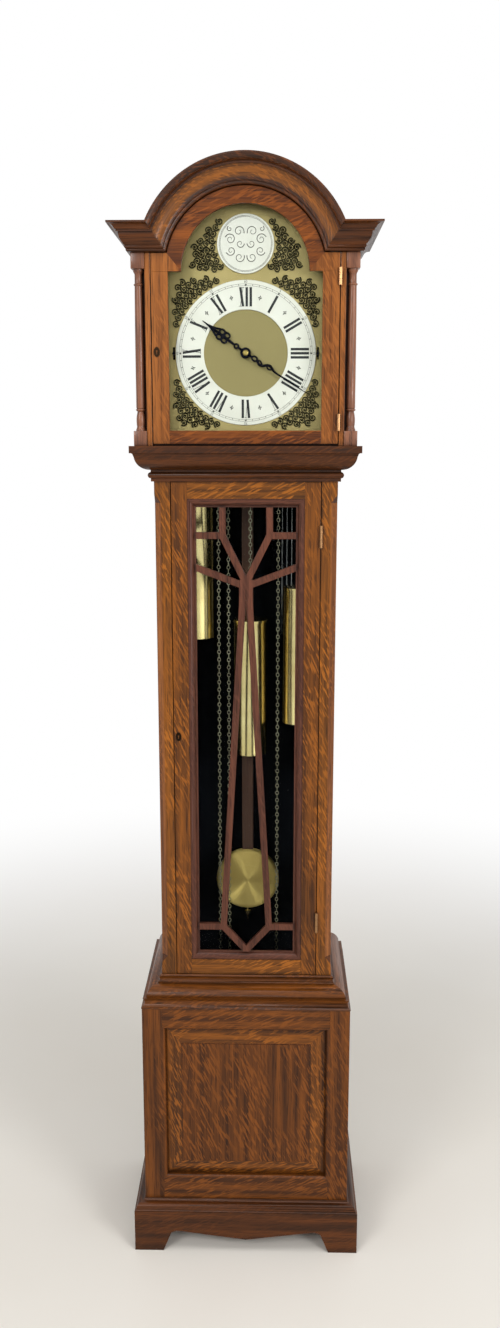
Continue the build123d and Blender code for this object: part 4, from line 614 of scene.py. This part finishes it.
def dial_sheet(name, dull, bright, centre_z, brushed, shine, matted_r=0.0):
    """Metal sheet brushed round a centre, and matted with a punch inside a radius."""
    material, tree = blank_material(name)
    place = add(tree, "TexCoord", {}, out="Object")
    centred = add(tree, "Mapping", {0: place, "Location": (0, 0, -centre_z)})
    flat = add(tree, "VectorMath", {0: centred, 1: (1, 0, 1)}, operation="MULTIPLY")
    radius = add(tree, "VectorMath", {0: flat}, operation="LENGTH", out="Value")
    across = add(tree, "Math", {0: radius, 1: 1 / brushed}, operation="MULTIPLY")
    sweep = add(tree, "CombineXYZ", {0: across})
    lines = add(tree, "TexNoise", {"Vector": sweep, "Scale": 1.0, "Detail": 2.0})
    dots = {"Vector": place, "Scale": 1 / PUNCH_MARK, "Detail": 2.0}
    punch = add(tree, "TexNoise", dots)
    slow = {"Vector": place, "Scale": 1 / DULLED_PATCH, "Detail": 3.0}
    cloud = add(tree, "TexNoise", slow)
    matted = add(tree, "Math", {0: radius, 1: matted_r}, operation="LESS_THAN")
    aged = add(tree, "MapRange", {0: cloud, 1: 0.4, 2: 0.75, 3: 0.0, 4: 0.35})
    colour = linear(bright)
    for share in (matted, aged):
        colours = {0: share, MIX_A: colour, MIX_B: linear(dull)}
        colour = add(tree, "Mix", colours, MIX_OUT, data_type="RGBA")
    spread = {0: lines, 1: 0.3, 2: 0.7, 3: shine, 4: shine + 0.12}
    rough = add(tree, "MapRange", spread)
    height = add(tree, "Mix", {0: matted, 2: lines, 3: punch})
    bump = add(tree, "Bump", {"Strength": 0.15, "Distance": 0.1 * MM, "Height": height})
    shader = add(tree, "BsdfPrincipled", {
        "Base Color": colour, "Metallic": 1.0, "Roughness": rough, "Normal": bump})
    add(tree, "OutputMaterial", {0: shader})
    return material


print("punch marks", PUNCH_MARK / MM, "mm apart")

# %% Dial plate, ring and boss
RING_WIDTH = 47 * MM
ring_low, ring_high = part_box("chapter_ring")
DIAL_Z = (ring_low[2] + ring_high[2]) / 2
RING_FACE, RING_R = ring_low[1], ring_high[0]
RING_IN = RING_R - RING_WIDTH
boss_low, boss_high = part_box("arch_boss")
BOSS_Z = (boss_low[2] + boss_high[2]) / 2
BOSS_FACE, BOSS_R = boss_low[1], boss_high[0]
dial_brass = dial_sheet("matted_dial_brass", "#8f8258", "#aa9866", DIAL_Z, 1.2 * MM, 0.42, RING_IN + MM)
ring_silver = dial_sheet("silvered_chapter_ring", "#c6c0ae", "#d6d2c6", DIAL_Z, 1.0 * MM, 0.45)
boss_silver = dial_sheet("silvered_boss", "#c6c0ae", "#d3cfc4", BOSS_Z, 1.0 * MM, 0.45)
dress("dial_plate", [dial_brass])
dress("chapter_ring", [ring_silver])
dress("arch_boss", [boss_silver])
sand("chapter_ring", 0.7 * MM)
sand("arch_boss", 1.2 * MM)
print("ring from", round(RING_IN / MM, 1), "to", round(RING_R / MM, 1), "mm")

# %% [markdown]
# ## Numerals
# Numerals are cut into the ring and filled with black wax. A Roman numeral is only a few strokes,
# broad and fine, so each stroke is a thin block, stretched and turned into place. Four o'clock is
# IIII, as clockmakers write it, and each numeral's head points outwards.

# %% Wax and strokes
INLAY = 0.3 * MM


def wax(name, deep, thin, clot, shine):
    """Hard engraver's wax, a little uneven where it was rubbed down."""
    material, tree = blank_material(name)
    place = add(tree, "TexCoord", {}, out="Object")
    fill = add(tree, "TexNoise", {"Vector": place, "Scale": 1 / clot, "Detail": 2.0})
    colours = {0: fill, MIX_A: linear(deep), MIX_B: linear(thin)}
    colour = add(tree, "Mix", colours, MIX_OUT, data_type="RGBA")
    shader = add(tree, "BsdfPrincipled", {"Base Color": colour, "Roughness": shine, "IOR": 1.45})
    add(tree, "OutputMaterial", {0: shader})
    return material


def at_hour(degrees, radius, face):
    """Place on the dial, turned so that up points outwards."""
    turned = Matrix.Rotation(math.radians(degrees), 4, "Y")
    return Matrix.Translation((0, face, DIAL_Z)) @ turned @ Matrix.Translation((0, 0, radius))


def stroke(bm, place, start, end, width):
    """A thin block from start to end, as (across, up), on a place of the dial."""
    run = Vector(end) - Vector(start)
    lean = Matrix.Rotation(math.atan2(run.x, run.y), 4, "Y")
    middle = (Vector(start) + Vector(end)) / 2
    size = Matrix.Diagonal((width, INLAY, run.length, 1))
    shift = Matrix.Translation((middle.x, -INLAY / 2, middle.y))
    bmesh.ops.create_cube(bm, size=1.0, matrix=place @ shift @ lean @ size)


black_wax = wax("black_wax_filling", "#0d0c0c", "#242120", 4 * MM, 0.45)
print("inlays stand", INLAY / MM, "mm proud")

# %% Hour numerals
NUMERAL_H, NUMERAL_R = 29.5 * MM, 89.5 * MM
BROAD, FINE, SERIF, SERIF_REACH = 4.0 * MM, 0.7 * MM, 0.7 * MM, 2.2 * MM
SIDE_ROOM, POINT_SHIFT, ARM_SHIFT = 0.8 * MM, 0.4 * MM, 1.0 * MM
ADVANCE = {"I": 6.6 * MM, "V": 10.0 * MM, "X": 10.0 * MM}
HOURS = ("XII", "I", "II", "III", "IIII", "V", "VI", "VII", "VIII", "IX", "X", "XI")
HOUR_STEP, MINUTE_STEP = 30, 6
bm = bmesh.new()
top, foot = NUMERAL_H / 2, -NUMERAL_H / 2
for hour, numeral in enumerate(HOURS):
    place = at_hour(HOUR_STEP * hour, NUMERAL_R, RING_FACE)
    across = -sum(ADVANCE[letter] for letter in numeral) / 2
    for letter in numeral:
        x = across + ADVANCE[letter] / 2
        reach = ADVANCE[letter] / 2 - BROAD / 2 - SIDE_ROOM
        left, right = x - reach, x + reach
        if letter == "I":
            stroke(bm, place, (x, foot), (x, top), BROAD)
            ends = [(x, foot), (x, top)]
        elif letter == "V":
            point, arm = (x + POINT_SHIFT, foot), (right + ARM_SHIFT, top)
            stroke(bm, place, (left, top), point, BROAD)
            stroke(bm, place, arm, point, FINE)
            ends = [(left, top), arm]
        else:
            stroke(bm, place, (left, top), (right, foot), BROAD)
            stroke(bm, place, (right, top), (left, foot), FINE)
            ends = [(left, top), (right, top), (left, foot), (right, foot)]
        for end, level in ends:
            stroke(bm, place, (end - SERIF_REACH, level), (end + SERIF_REACH, level), SERIF)
        across += ADVANCE[letter]
numerals = keep(bm, "hour_numerals", black_wax, "case")
print("numerals:", len(numerals.data.polygons), "faces")

# %% [markdown]
# Outside the hours runs the minute track: two fine circles with a tick at each minute, a lozenge
# and a small figure at each fifth. Between the hours are little four-petalled marks for the half
# hours. They are engraved more lightly than the numerals, so they get a grey wax.

# %% Minute track and half-hour marks
TRACK_IN, TRACK_OUT, TRACK_LINE = 106.8 * MM, 109.8 * MM, 0.45 * MM
TICK, LOZENGE, LOZENGE_REACH = 0.7 * MM, 2.6 * MM, 1.1 * MM
HALF_HOUR_R, STEM, STEM_REACH = 90.5 * MM, 0.8 * MM, 4.2 * MM
PETAL, PETAL_REACH = 1.5 * MM, Vector((0.9, 0.9)) * MM
PETALS = metres([(0, 2.2), (0, -1.6), (-1.9, 0.3), (1.9, 0.3)])


def inlaid_circle(bm, radius, width, centre, steps):
    """Fine line round a centre, as proud as the strokes are."""
    line = [(radius, 0), (radius, INLAY), (radius + width, INLAY), (radius + width, 0)]
    turn(bm, line, centre, FORWARD, steps)


grey_wax = wax("grey_wax_filling", "#35322e", "#6a665c", 3 * MM, 0.5)
bm = bmesh.new()
for radius in (TRACK_IN, TRACK_OUT):
    inlaid_circle(bm, radius, TRACK_LINE, (0, RING_FACE, DIAL_Z), 120)
half = (TRACK_OUT - TRACK_IN) / 2
for minute in range(60):
    place = at_hour(MINUTE_STEP * minute, TRACK_IN + half, RING_FACE)
    if minute % 5:
        stroke(bm, place, (0, -half), (0, half), TICK)
    else:
        corner = Vector((LOZENGE_REACH, LOZENGE_REACH))
        stroke(bm, place, -corner, corner, LOZENGE)
for hour in range(12):
    place = at_hour(HOUR_STEP * (hour + 0.5), HALF_HOUR_R, RING_FACE)
    stroke(bm, place, (0, -STEM_REACH), (0, STEM_REACH), STEM)
    for petal in PETALS:
        stroke(bm, place, Vector(petal) - PETAL_REACH, Vector(petal) + PETAL_REACH, PETAL)
track = keep(bm, "minute_track", grey_wax, "case")
print("track:", len(track.data.polygons), "faces")

# %% Minute figures
FIGURE_H, FIGURE_R = 5.6 * MM, 113.2 * MM
upright = Matrix.Rotation(math.pi / 2, 4, "X")
bm = bmesh.new()
for fifth in range(1, 13):
    writing = bpy.data.curves.new("figure", "FONT")
    writing.body = str(5 * fifth)
    writing.size = FIGURE_H
    writing.align_x, writing.align_y = "CENTER", "CENTER"
    writing.extrude = INLAY / 2
    drawn = bpy.data.objects.new("figure", writing)
    shape = bpy.data.meshes.new_from_object(drawn)
    shape.transform(at_hour(HOUR_STEP * fifth, FIGURE_R, RING_FACE - INLAY / 2) @ upright)
    bm.from_mesh(shape)
    bpy.data.objects.remove(drawn)
    bpy.data.curves.remove(writing)
    bpy.data.meshes.remove(shape)
figures = keep(bm, "minute_figures", grey_wax, "case")
print("figures:", len(figures.data.polygons), "faces")

# %% [markdown]
# ## Scrollwork
# Pierced brass castings fill the corners of the dial and the arch beside the boss. Such a spandrel
# is a nest of C-scrolls that roll up tighter towards their eyes, with a bead in each eye. A scroll
# is a line, so it is drawn as a spiral curve with a round section that thins to its tip, and one
# corner's scrolls are mirrored into the other three. The castings are toned nearly black, and the
# bright plate shows through their gaps. The scrolls sit in rings round the dial and round the
# boss, wherever there is room.

# %% Wires and scrolls
SCROLL_EYE = 0.18


def draw_lines(bm, lines, thickness, sides=1):
    """Add smooth round wires through lines of (point, share of the thickness)."""
    curve = bpy.data.curves.new("wires", "CURVE")
    curve.dimensions = "3D"
    curve.bevel_depth = thickness
    curve.bevel_resolution = sides
    curve.use_fill_caps = True
    curve.resolution_u = 2
    for line in lines:
        spline = curve.splines.new("NURBS")
        spline.points.add(len(line) - 1)
        for point, (place, share) in zip(spline.points, line):
            point.co = (*place, 1.0)
            point.radius = share
        spline.order_u = 3
        spline.use_endpoint_u = True
    drawn = bpy.data.objects.new("wires", curve)
    mesh = bpy.data.meshes.new_from_object(drawn)
    bm.from_mesh(mesh)
    bpy.data.objects.remove(drawn)
    bpy.data.curves.remove(curve)
    bpy.data.meshes.remove(mesh)


def scroll(x, z, radius, start, turns, way=1, thin=0.35):
    """Flat spiral about (x, z) that rolls inwards, as points with a share of the thickness."""
    count = max(10, int(14 * turns))
    line = []
    for step in range(count + 1):
        share = step / count
        angle = math.radians(start) + way * 2 * math.pi * turns * share
        r = radius * (1 - (1 - SCROLL_EYE) * share)
        line.append(((x + r * math.cos(angle), z + r * math.sin(angle)), 1 - (1 - thin) * share))
    return line


print("a scroll of one turn has", len(scroll(0, 0, MM, 0, 1)), "points")

# %% Corner and arch spandrels
SPANDREL_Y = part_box("dial_plate")[0][1] - 1.4 * MM
CORNER, ARCH_R = 122.5 * MM, 97 * MM
SCROLL_PITCH = 10.5 * MM
SCROLL_R, SCROLL_TURNS, ROW_STEP = 0.56 * SCROLL_PITCH, 1.6, 0.9 * SCROLL_PITCH
EDGE_ROOM = 0.4 * SCROLL_PITCH
SPRING = ARCH_Z + 0.5 * SCROLL_PITCH
SCROLL_WIRE, BEAD_R = 1.45 * MM, 1.5 * MM


def nest(first, inside, sweep):
    """Scrolls in rings round a centre, from a first radius outwards, wherever there is room."""
    for row in range(8):
        ring = first + row * ROW_STEP
        count = int(sweep * ring / SCROLL_PITCH)
        for index in range(count):
            angle = sweep * (index + 0.5) / count
            x, z = ring * math.sin(angle), ring * math.cos(angle)
            if inside(x, z):
                start = 90 - math.degrees(angle) + 180 * (index % 2)
                way = 1 if (index + row) % 2 else -1
                yield x, z, scroll(x, z, SCROLL_R, start, SCROLL_TURNS, way)


def in_corner(x, z):
    """Whether a scroll fits in the dial's square corner."""
    return max(x, z) < CORNER - EDGE_ROOM


def in_arch(x, z):
    """Whether a scroll fits between the arch's springing and its edge."""
    height = BOSS_Z + z
    return height > SPRING and math.hypot(x, height - ARCH_Z) < ARCH_R - EDGE_ROOM


corners = nest(RING_R + 0.75 * SCROLL_PITCH, in_corner, math.pi / 2)
sides = nest(BOSS_R + 0.8 * SCROLL_PITCH, in_arch, math.pi)
lines, beads = [], []
for scrolls, centre_z, flips in ((corners, DIAL_Z, (-1, 1)), (sides, BOSS_Z, (1,))):
    for x0, z0, flat in scrolls:
        for sx in (-1, 1):
            for sz in flips:
                lines.append([((sx * x, SPANDREL_Y, centre_z + sz * z), share)
                              for (x, z), share in flat])
                beads.append((sx * x0, SPANDREL_Y, centre_z + sz * z0))
bm = bmesh.new()
for bead in beads:
    place = Matrix.Translation(bead) @ Matrix.Diagonal((1, 0.9, 1, 1))
    bmesh.ops.create_uvsphere(bm, u_segments=8, v_segments=5, radius=BEAD_R, matrix=place)
draw_lines(bm, lines, SCROLL_WIRE)
spandrels = keep(bm, "scrolled_spandrels", cast_brass, "case", ["dial_spandrels"])
print("spandrels:", len(lines), "scrolls,", len(spandrels.data.polygons), "faces")

# %% [markdown]
# ## Boss engraving
# The round boss in the arch carries penwork: mirrored flourishes inside a double rim line. The
# lines are drawn as thin wires half sunk in the silver.

# %% Flourishes on the boss
PEN, PEN_THIN, RIM_LINE = 0.75 * MM, 0.5, 0.5 * MM
# Middle across and up and radius in millimetres, start in degrees, turns, and way round.
FLOURISH = [(11, 19, 9.0, 200, 1.3, -1), (25, 7, 9.0, 20, 1.5, 1), (9, 0, 7.0, 180, 1.2, 1),
            (24, -11, 8.0, 340, 1.4, -1), (10, -21, 8.5, 160, 1.3, 1), (26, 23, 4.5, 60, 1.1, -1)]
lines = []
for x0, z0, radius, start, turns, way in FLOURISH:
    flat = scroll(x0 * MM, BOSS_Z + z0 * MM, radius * MM, start, turns, way, PEN_THIN)
    for sx in (-1, 1):
        lines.append([((sx * x, BOSS_FACE, z), share) for (x, z), share in flat])
bm = bmesh.new()
draw_lines(bm, lines, PEN)
for radius in (41.5 * MM, 43.0 * MM):
    inlaid_circle(bm, radius, RIM_LINE, (0, BOSS_FACE, BOSS_Z), 96)
engraving = keep(bm, "boss_flourishes", grey_wax, "case")
print("boss:", len(engraving.data.polygons), "faces")

# %% [markdown]
# ## Hands
# The hands are sawn from steel, pierced, and blued nearly black over a flame. The hour hand has a
# ring, a square of four pierced petals and a spear; the minute hand winds in two slow bends to a
# long point. Both are drawn as lines that swell and thin, then pressed flat. A domed brass nut
# holds them.

# %% A hand from lines
HAND_WIRE, HAND_FLAT = 1.6 * MM, 0.5


def ring_line(x, z, across, up):
    """Closed loop as an open line that ends where it starts."""
    steps = 16
    turns = [2 * math.pi * step / steps for step in range(steps + 1)]
    return [((x + across * math.cos(t), z + up * math.sin(t)), 1.0) for t in turns]


def hand_piece(name, lines_mm, degrees, y, hub, hand):
    """Flattened hand from lines drawn upright in millimetres."""
    place = Matrix.Translation((0, y, DIAL_Z)) @ Matrix.Rotation(math.radians(degrees), 4, "Y")
    place = place @ Matrix.Diagonal((1, HAND_FLAT, 1, 1))
    lines = [[((x * MM, 0, z * MM), share) for (x, z), share in line] for line in lines_mm]
    bm = bmesh.new()
    draw_lines(bm, lines, HAND_WIRE, 2)
    collar = [(hub, -1.2), (8.4, -1.2), (8.9, 0), (8.4, 1.2), (hub, 1.2), (hub, -1.2)]
    turn(bm, metres(collar), (0, 0, 0), BACKWARD, 32)
    bmesh.ops.transform(bm, matrix=place, verts=bm.verts)
    return keep(bm, name, blued_steel, hand, [hand])


print("hands pressed to", HAND_FLAT, "of the wire")

# %% Hour and minute hands
hour_low, hour_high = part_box("hour_hand")
# Middle planes: the hour hand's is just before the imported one's back, the minute hand's before
# its front.
HOUR_Y, MINUTE_Y = hour_high[1] - 0.65 * MM, hour_low[1] - 3.55 * MM
HOUR_TURN, MINUTE_TURN = 306.0, 122.6
hour_lines = [
    [((0, 8), 1.3), ((0, 13), 1.2), ((0, 15.5), 1.0)], ring_line(0, 19, 3.4, 3.4),
    [((0, 22.5), 1.0), ((0, 30), 1.3), ((0, 35), 1.5)],
    ring_line(-4.6, 41, 4.0, 4.6), ring_line(4.6, 41, 4.0, 4.6),
    ring_line(-4.6, 51, 4.0, 4.6), ring_line(4.6, 51, 4.0, 4.6),
    [((0, 35), 1.2), ((0, 46), 1.0), ((0, 58), 1.4)],
    [((-9, 46), 0.9), ((0, 46), 1.0), ((9, 46), 0.9)],
    [((-7, 56), 0.9), ((-4, 61), 1.1), ((-1.5, 68), 1.2), ((0, 76), 0.9), ((0, 88), 0.35)],
    [((7, 56), 0.9), ((4, 61), 1.1), ((1.5, 68), 1.2), ((0, 76), 0.9), ((0, 88), 0.35)],
    [((0, 57), 1.2), ((0, 72), 1.4), ((0, 88), 0.4)]]
minute_lines = [
    [((0, 6), 1.2), ((0, 10), 1.2), ((0, 13), 1.0)], ring_line(0, 17.5, 3.6, 4.6),
    [((0, 22), 1.2), ((3.0, 26), 1.4), ((4.2, 31), 1.4), ((2.0, 36), 1.4), ((-2.4, 40), 1.4),
     ((-4.4, 45), 1.5), ((-2.6, 50), 1.4), ((0, 55), 1.2), ((0.4, 62), 0.9), ((0, 80), 0.75),
     ((0, 100), 0.6), ((0, 119), 0.35)],
    [((0, 22), 1.0), ((-2.4, 26), 0.9), ((-1.0, 30), 0.9), ((1.8, 33.5), 0.8)],
    [((-2.4, 40), 0.9), ((1.6, 43), 0.9), ((2.2, 47), 0.8), ((0, 50.5), 0.8)]]
hand_piece("pierced_hour_hand", hour_lines, HOUR_TURN, HOUR_Y, 5.6, "hour_hand")
hand_piece("winding_minute_hand", minute_lines, MINUTE_TURN, MINUTE_Y, 3.6, "minute_hand")
NUT_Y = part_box("minute_hand")[0][1] + 4 * MM
nut = [(2.1, 0), (5.0, 0), (5.0, 1.0), *bowed((5.0, 1.0), (2.4, 3.6), 0.6, 6), (1.8, 3.9), (0, 4.0)]
bm = bmesh.new()
turn(bm, metres(nut), (0, NUT_Y, DIAL_Z), FORWARD, 32)
keep(bm, "domed_hand_nut", plate_brass, "minute_hand")
print("hands at", HOUR_TURN, "and", MINUTE_TURN, "degrees")

# %% [markdown]
# ## Weights
# Each weight is a lead-filled brass tube with pressed end caps, a hook and a ring above. The lathe
# spins the tube with its small rolled rims; the ring is a circle spun round a circle.

# %% Spun weights
SIDES = ("left", "centre", "right")
HOOK_DROP = 6 * MM
# These are in millimetres, as the outlines are.
TUBE_H, HOOK_RING, HOOK_WIRE = 250, 4.7, 1.2
bends = [2 * math.pi * step / 10 for step in range(11)]
hook_ring = metres([(HOOK_RING + HOOK_WIRE * math.cos(bend), math.sin(bend)) for bend in bends])
for side in SIDES:
    low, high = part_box(f"weight_{side}")
    x, y = (low[0] + high[0]) / 2, (low[1] + high[1]) / 2
    r = (high[0] - low[0]) / 2 / MM
    tube = [(0, 0), (r - 3, 0), (r - 1.2, 0.3), (r, 1.2), (r, 5), (r - 0.35, 5.6),
            (r - 0.35, TUBE_H - 5.6), (r, TUBE_H - 5), (r, TUBE_H - 1.2), (r - 1.2, TUBE_H - 0.3),
            (r - 3, TUBE_H), (9, TUBE_H + 0.8), (2.2, TUBE_H + 1.2), (2.0, TUBE_H + 9),
            (0, TUBE_H + 9.5)]
    bm = bmesh.new()
    turn(bm, metres(tube), (x, y, low[2]), UP, 64)
    turn(bm, hook_ring, (x, y, high[2] - HOOK_DROP), BACKWARD, 28)
    keep(bm, f"brass_weight_{side}", drawn_brass, f"weight_{side}", [f"weight_{side}"])
print("weights: 3, each", round(2 * r), "mm across")

# %% [markdown]
# ## Pendulum bob
# The bob is a brass lens, spun and grained round its centre. Fine circular marks spread a lamp's
# reflection into a bow tie that crosses the middle, so the shader is anisotropic and reads its
# direction from a UV map that runs round the lens, turned a quarter, since a highlight stretches
# across the marks. Below it hang the rating nut and the screwed tail.

# %% Spun brass
spun_brass, tree = blank_material("spun_brass_bob")
around = add(tree, "UVMap", {}, uv_map="round")
stretch = add(tree, "Mapping", {0: around, "Scale": (3.0, 90.0, 1.0)})
marks = add(tree, "TexNoise", {"Vector": stretch, "Scale": 1.0, "Detail": 2.0})
colours = {0: marks, MIX_A: linear("#bfa052"), MIX_B: linear("#dcc47c")}
colour = add(tree, "Mix", colours, MIX_OUT, data_type="RGBA")
run = add(tree, "Tangent", {}, direction_type="UV_MAP", uv_map="round")
rough = add(tree, "MapRange", {0: marks, 1: 0.3, 2: 0.7, 3: 0.38, 4: 0.46})
shader = add(tree, "BsdfPrincipled", {
    "Base Color": colour, "Metallic": 1.0, "Roughness": rough, "Anisotropic": 1.0,
    "Anisotropic Rotation": 0.25, "Tangent": run})
add(tree, "OutputMaterial", {0: shader})
print("bob finish:", spun_brass.name)

# %% Spun bob and rating nut
bob_low, bob_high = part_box("pendulum_bob")
BOB_R = (bob_high[0] - bob_low[0]) / 2
BOB_Y = (bob_low[1] + bob_high[1]) / 2
BOB_Z = bob_high[2] - BOB_R
lens = [(0.2, -10), *bowed((0.2, -10), (55.0, -8.8), 0.3, 12), *bowed((55.0, -8.8), (60, -4.0), 1.0, 5),
        *bowed((60, 4.0), (55.0, 8.8), 1.0, 5), *bowed((55.0, 8.8), (0.2, 10), 0.3, 12)]
bm = bmesh.new()
turn(bm, metres(lens), (0, BOB_Y, BOB_Z), BACKWARD, 96)
bmesh.ops.holes_fill(bm, edges=bm.edges)
bob = keep(bm, "spun_bob", spun_brass, "pendulum", ["pendulum_bob"])
round_map = bob.data.uv_layers.new(name="round")
for face in bob.data.polygons:
    middle = math.atan2(face.center.z - BOB_Z, face.center.x)
    for loop in face.loop_indices:
        spot = bob.data.vertices[bob.data.loops[loop].vertex_index].co - Vector((0, BOB_Y, BOB_Z))
        angle = math.atan2(spot.z, spot.x)
        angle += 2 * math.pi * round((middle - angle) / (2 * math.pi))
        round_map.data[loop].uv = (angle / (2 * math.pi), math.hypot(spot.x, spot.z) / BOB_R)
rim = (BOB_Z - BOB_R - bob_low[2]) / MM
tail = [(0, 0), (1.0, 0.4), (2.0, 1.6), (2.0, rim - 15), (4.6, rim - 15), (5.2, rim - 14.4),
        (5.2, rim - 11.6), (6.6, rim - 11), (7.2, rim - 10.4), (7.2, rim - 5.6), (6.6, rim - 5),
        (2.6, rim - 4.6), (2.6, rim + 2), (0, rim + 2)]
bm = bmesh.new()
turn(bm, metres(tail), (0, BOB_Y, bob_low[2]), UP, 28)
keep(bm, "rating_nut", drawn_brass, "pendulum")
print("bob:", round(2 * BOB_R / MM), "mm across, centre at Z", round(BOB_Z / MM))

# %% [markdown]
# ## Chains
# The chains have links of about 7 mm, far finer than the imported model's. Each link is a ring spun
# from a square section and drawn out to an oval; every other one is turned a quarter. A ring like
# those of the weights ends each free strand.

# %% One link
LINK_PITCH, LINK_WIRE, LINK_R = 7.0 * MM, 0.85 * MM, 2.7 * MM
LINK_REACH = LINK_PITCH / 2 + 1.3 * LINK_WIRE
bends = [math.pi / 4 + math.pi / 2 * step for step in range(5)]
square = [(LINK_R + LINK_WIRE * math.cos(bend), LINK_WIRE * math.sin(bend)) for bend in bends]
bm = bmesh.new()
turn(bm, square, (0, 0, 0), BACKWARD, 8)
bmesh.ops.remove_doubles(bm, verts=bm.verts, dist=0.01 * MM)
oval = Matrix.Diagonal((1, 1, LINK_REACH / (LINK_R + LINK_WIRE), 1))
bmesh.ops.transform(bm, matrix=oval, verts=bm.verts)
link = bpy.data.meshes.new("link")
bm.to_mesh(link)
bm.free()
print("link:", len(link.polygons), "faces")

# %% Fine chains
END_RING_R = (HOOK_RING + HOOK_WIRE) * MM
END_RING_HOLE = 2 * (END_RING_R - HOOK_WIRE * MM)
quarter = Matrix.Rotation(math.pi / 2, 4, "Z")
link_count = 0
for side in SIDES:
    for node, body in ((f"weight_chain_{side}", f"weight_{side}"),
                       (f"free_chain_{side}", f"chain_end_{side}")):
        low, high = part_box(node)
        x, y = (low[0] + high[0]) / 2, (low[1] + high[1]) / 2
        bm = bmesh.new()
        span = high[2] - low[2] - 2 * LINK_WIRE
        if node.startswith("free"):
            turn(bm, hook_ring, (x, y, low[2] + END_RING_R), BACKWARD, 28)
            span -= END_RING_HOLE
        count = round(span / LINK_PITCH)
        pitch = span / count
        step = link.copy()
        step.transform(Matrix.Translation((x, y, high[2] - LINK_WIRE - pitch / 2)))
        onward = Matrix.Translation((x, y, -pitch)) @ quarter @ Matrix.Translation((-x, -y, 0))
        for index in range(count):
            bm.from_mesh(step)
            step.transform(onward)
        bpy.data.meshes.remove(step)
        strand = keep(bm, f"fine_{node}", chain_brass, None, [node])
        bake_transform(strand)
        link_count += count
bpy.data.meshes.remove(link)
print("links:", link_count)

# %% [markdown]
# ## Studio
# The clock stands on a plain pale floor against white. Large soft lamps in front, above and to one
# side show the mouldings, and the white surroundings are seen by the camera, by metal and by glass.
# The floor keeps the clock's shadow near its feet and fades to the same white farther off, so no
# horizon cuts the picture. The glass already lets lamp light through by its shadow rays, so the
# lamps are hidden from refracted rays, which would count that light twice.

# %% Floor
SHADOW_R, WHITE_R = 0.7, 2.6


def seen_directly(tree):
    """One for rays from the camera and through metal and glass, nought for the rest."""
    rays = add(tree, "LightPath", {}).node.outputs
    seen = rays["Is Camera Ray"]
    for way in ("Is Glossy Ray", "Is Transmission Ray"):
        seen = add(tree, "Math", {0: seen, 1: rays[way]}, operation="MAXIMUM")
    return seen


floor_paint, tree = blank_material("pale_studio_floor")
place = add(tree, "TexCoord", {}, out="Object")
mottle = add(tree, "TexNoise", {"Vector": place, "Scale": 3.0, "Detail": 2.0})
colours = {0: mottle, MIX_A: linear("#ece6dc"), MIX_B: linear("#f2eee6")}
colour = add(tree, "Mix", colours, MIX_OUT, data_type="RGBA")
painted = add(tree, "BsdfPrincipled", {"Base Color": colour, "Roughness": 0.7})
far = add(tree, "VectorMath", {0: place}, operation="LENGTH", out="Value")
fade = {0: far, 1: SHADOW_R, 2: WHITE_R, 3: 0.0, 4: 1.0}
faded = add(tree, "MapRange", fade, interpolation_type="SMOOTHSTEP")
share = add(tree, "Math", {0: faded, 1: seen_directly(tree)}, operation="MULTIPLY")
white = add(tree, "Emission", {"Color": linear("#ffffff"), "Strength": 1.0})
both = add(tree, "MixShader", {0: share, 1: painted, 2: white})
add(tree, "OutputMaterial", {0: both})
bm = bmesh.new()
bmesh.ops.create_grid(bm, x_segments=2, y_segments=2, size=12.0)
ground = bpy.data.meshes.new("studio_floor")
bm.to_mesh(ground)
bm.free()
ground.materials.append(floor_paint)
floor = bpy.data.objects.new("studio_floor", ground)
bpy.context.scene.collection.objects.link(floor)
print("floor white from", WHITE_R, "m")

# %% Lamps and white surroundings
AMBIENT = 0.4
# Place, point aimed at, size in metres and watts.
LAMPS = {
    "key_lamp": ((-1.7, -2.8, 2.7), (0, 0, 1.1), 1.2, 43),
    "fill_lamp": ((2.0, -2.4, 1.9), (0, 0, 1.0), 1.0, 37),
    "top_lamp": ((0.2, -0.6, 3.8), (0, 0, 1.0), 2.2, 46),
}
for name, (place, aim, size, watts) in LAMPS.items():
    lamp = bpy.data.lights.new(name, "AREA")
    lamp.size = size
    lamp.energy = watts
    holder = bpy.data.objects.new(name, lamp)
    holder.location = place
    holder.rotation_euler = (Vector(aim) - Vector(place)).to_track_quat("-Z", "Y").to_euler()
    holder.visible_transmission = False
    bpy.context.scene.collection.objects.link(holder)
world = bpy.data.worlds.new("white_studio")
bpy.context.scene.world = world
world.use_nodes = True
tree = world.node_tree
tree.nodes.clear()
dim = {0: seen_directly(tree), 1: 0.0, 2: 1.0, 3: AMBIENT, 4: 1.0}
level = add(tree, "MapRange", dim)
sky = add(tree, "Background", {"Color": linear("#ffffff"), "Strength": level})
add(tree, "OutputWorld", {0: sky})
bpy.context.scene.view_settings.view_transform = "Standard"
print("lamps:", len(LAMPS), "and ambient", AMBIENT)

# %% [markdown]
# ## Camera
# The photograph was taken by hand from a little under two metres, at chest height and tilted down.
# The lens and place below were worked out from corners of the case whose sizes are known.

# %% Camera
TILT, YAW = math.radians(-11.1926), math.radians(-1.2333)
camera_data = bpy.data.cameras.new("photo_camera")
camera_data.lens = 29.82
camera_data.sensor_width = 36.0
camera = bpy.data.objects.new("photo_camera", camera_data)
camera.location = (0.04766, -1.96349, 1.49993)
camera.rotation_euler = (math.pi / 2 + TILT, 0.0, -YAW)
bpy.context.scene.collection.objects.link(camera)
bpy.context.scene.camera = camera
print("camera at", tuple(round(share, 3) for share in camera.location))
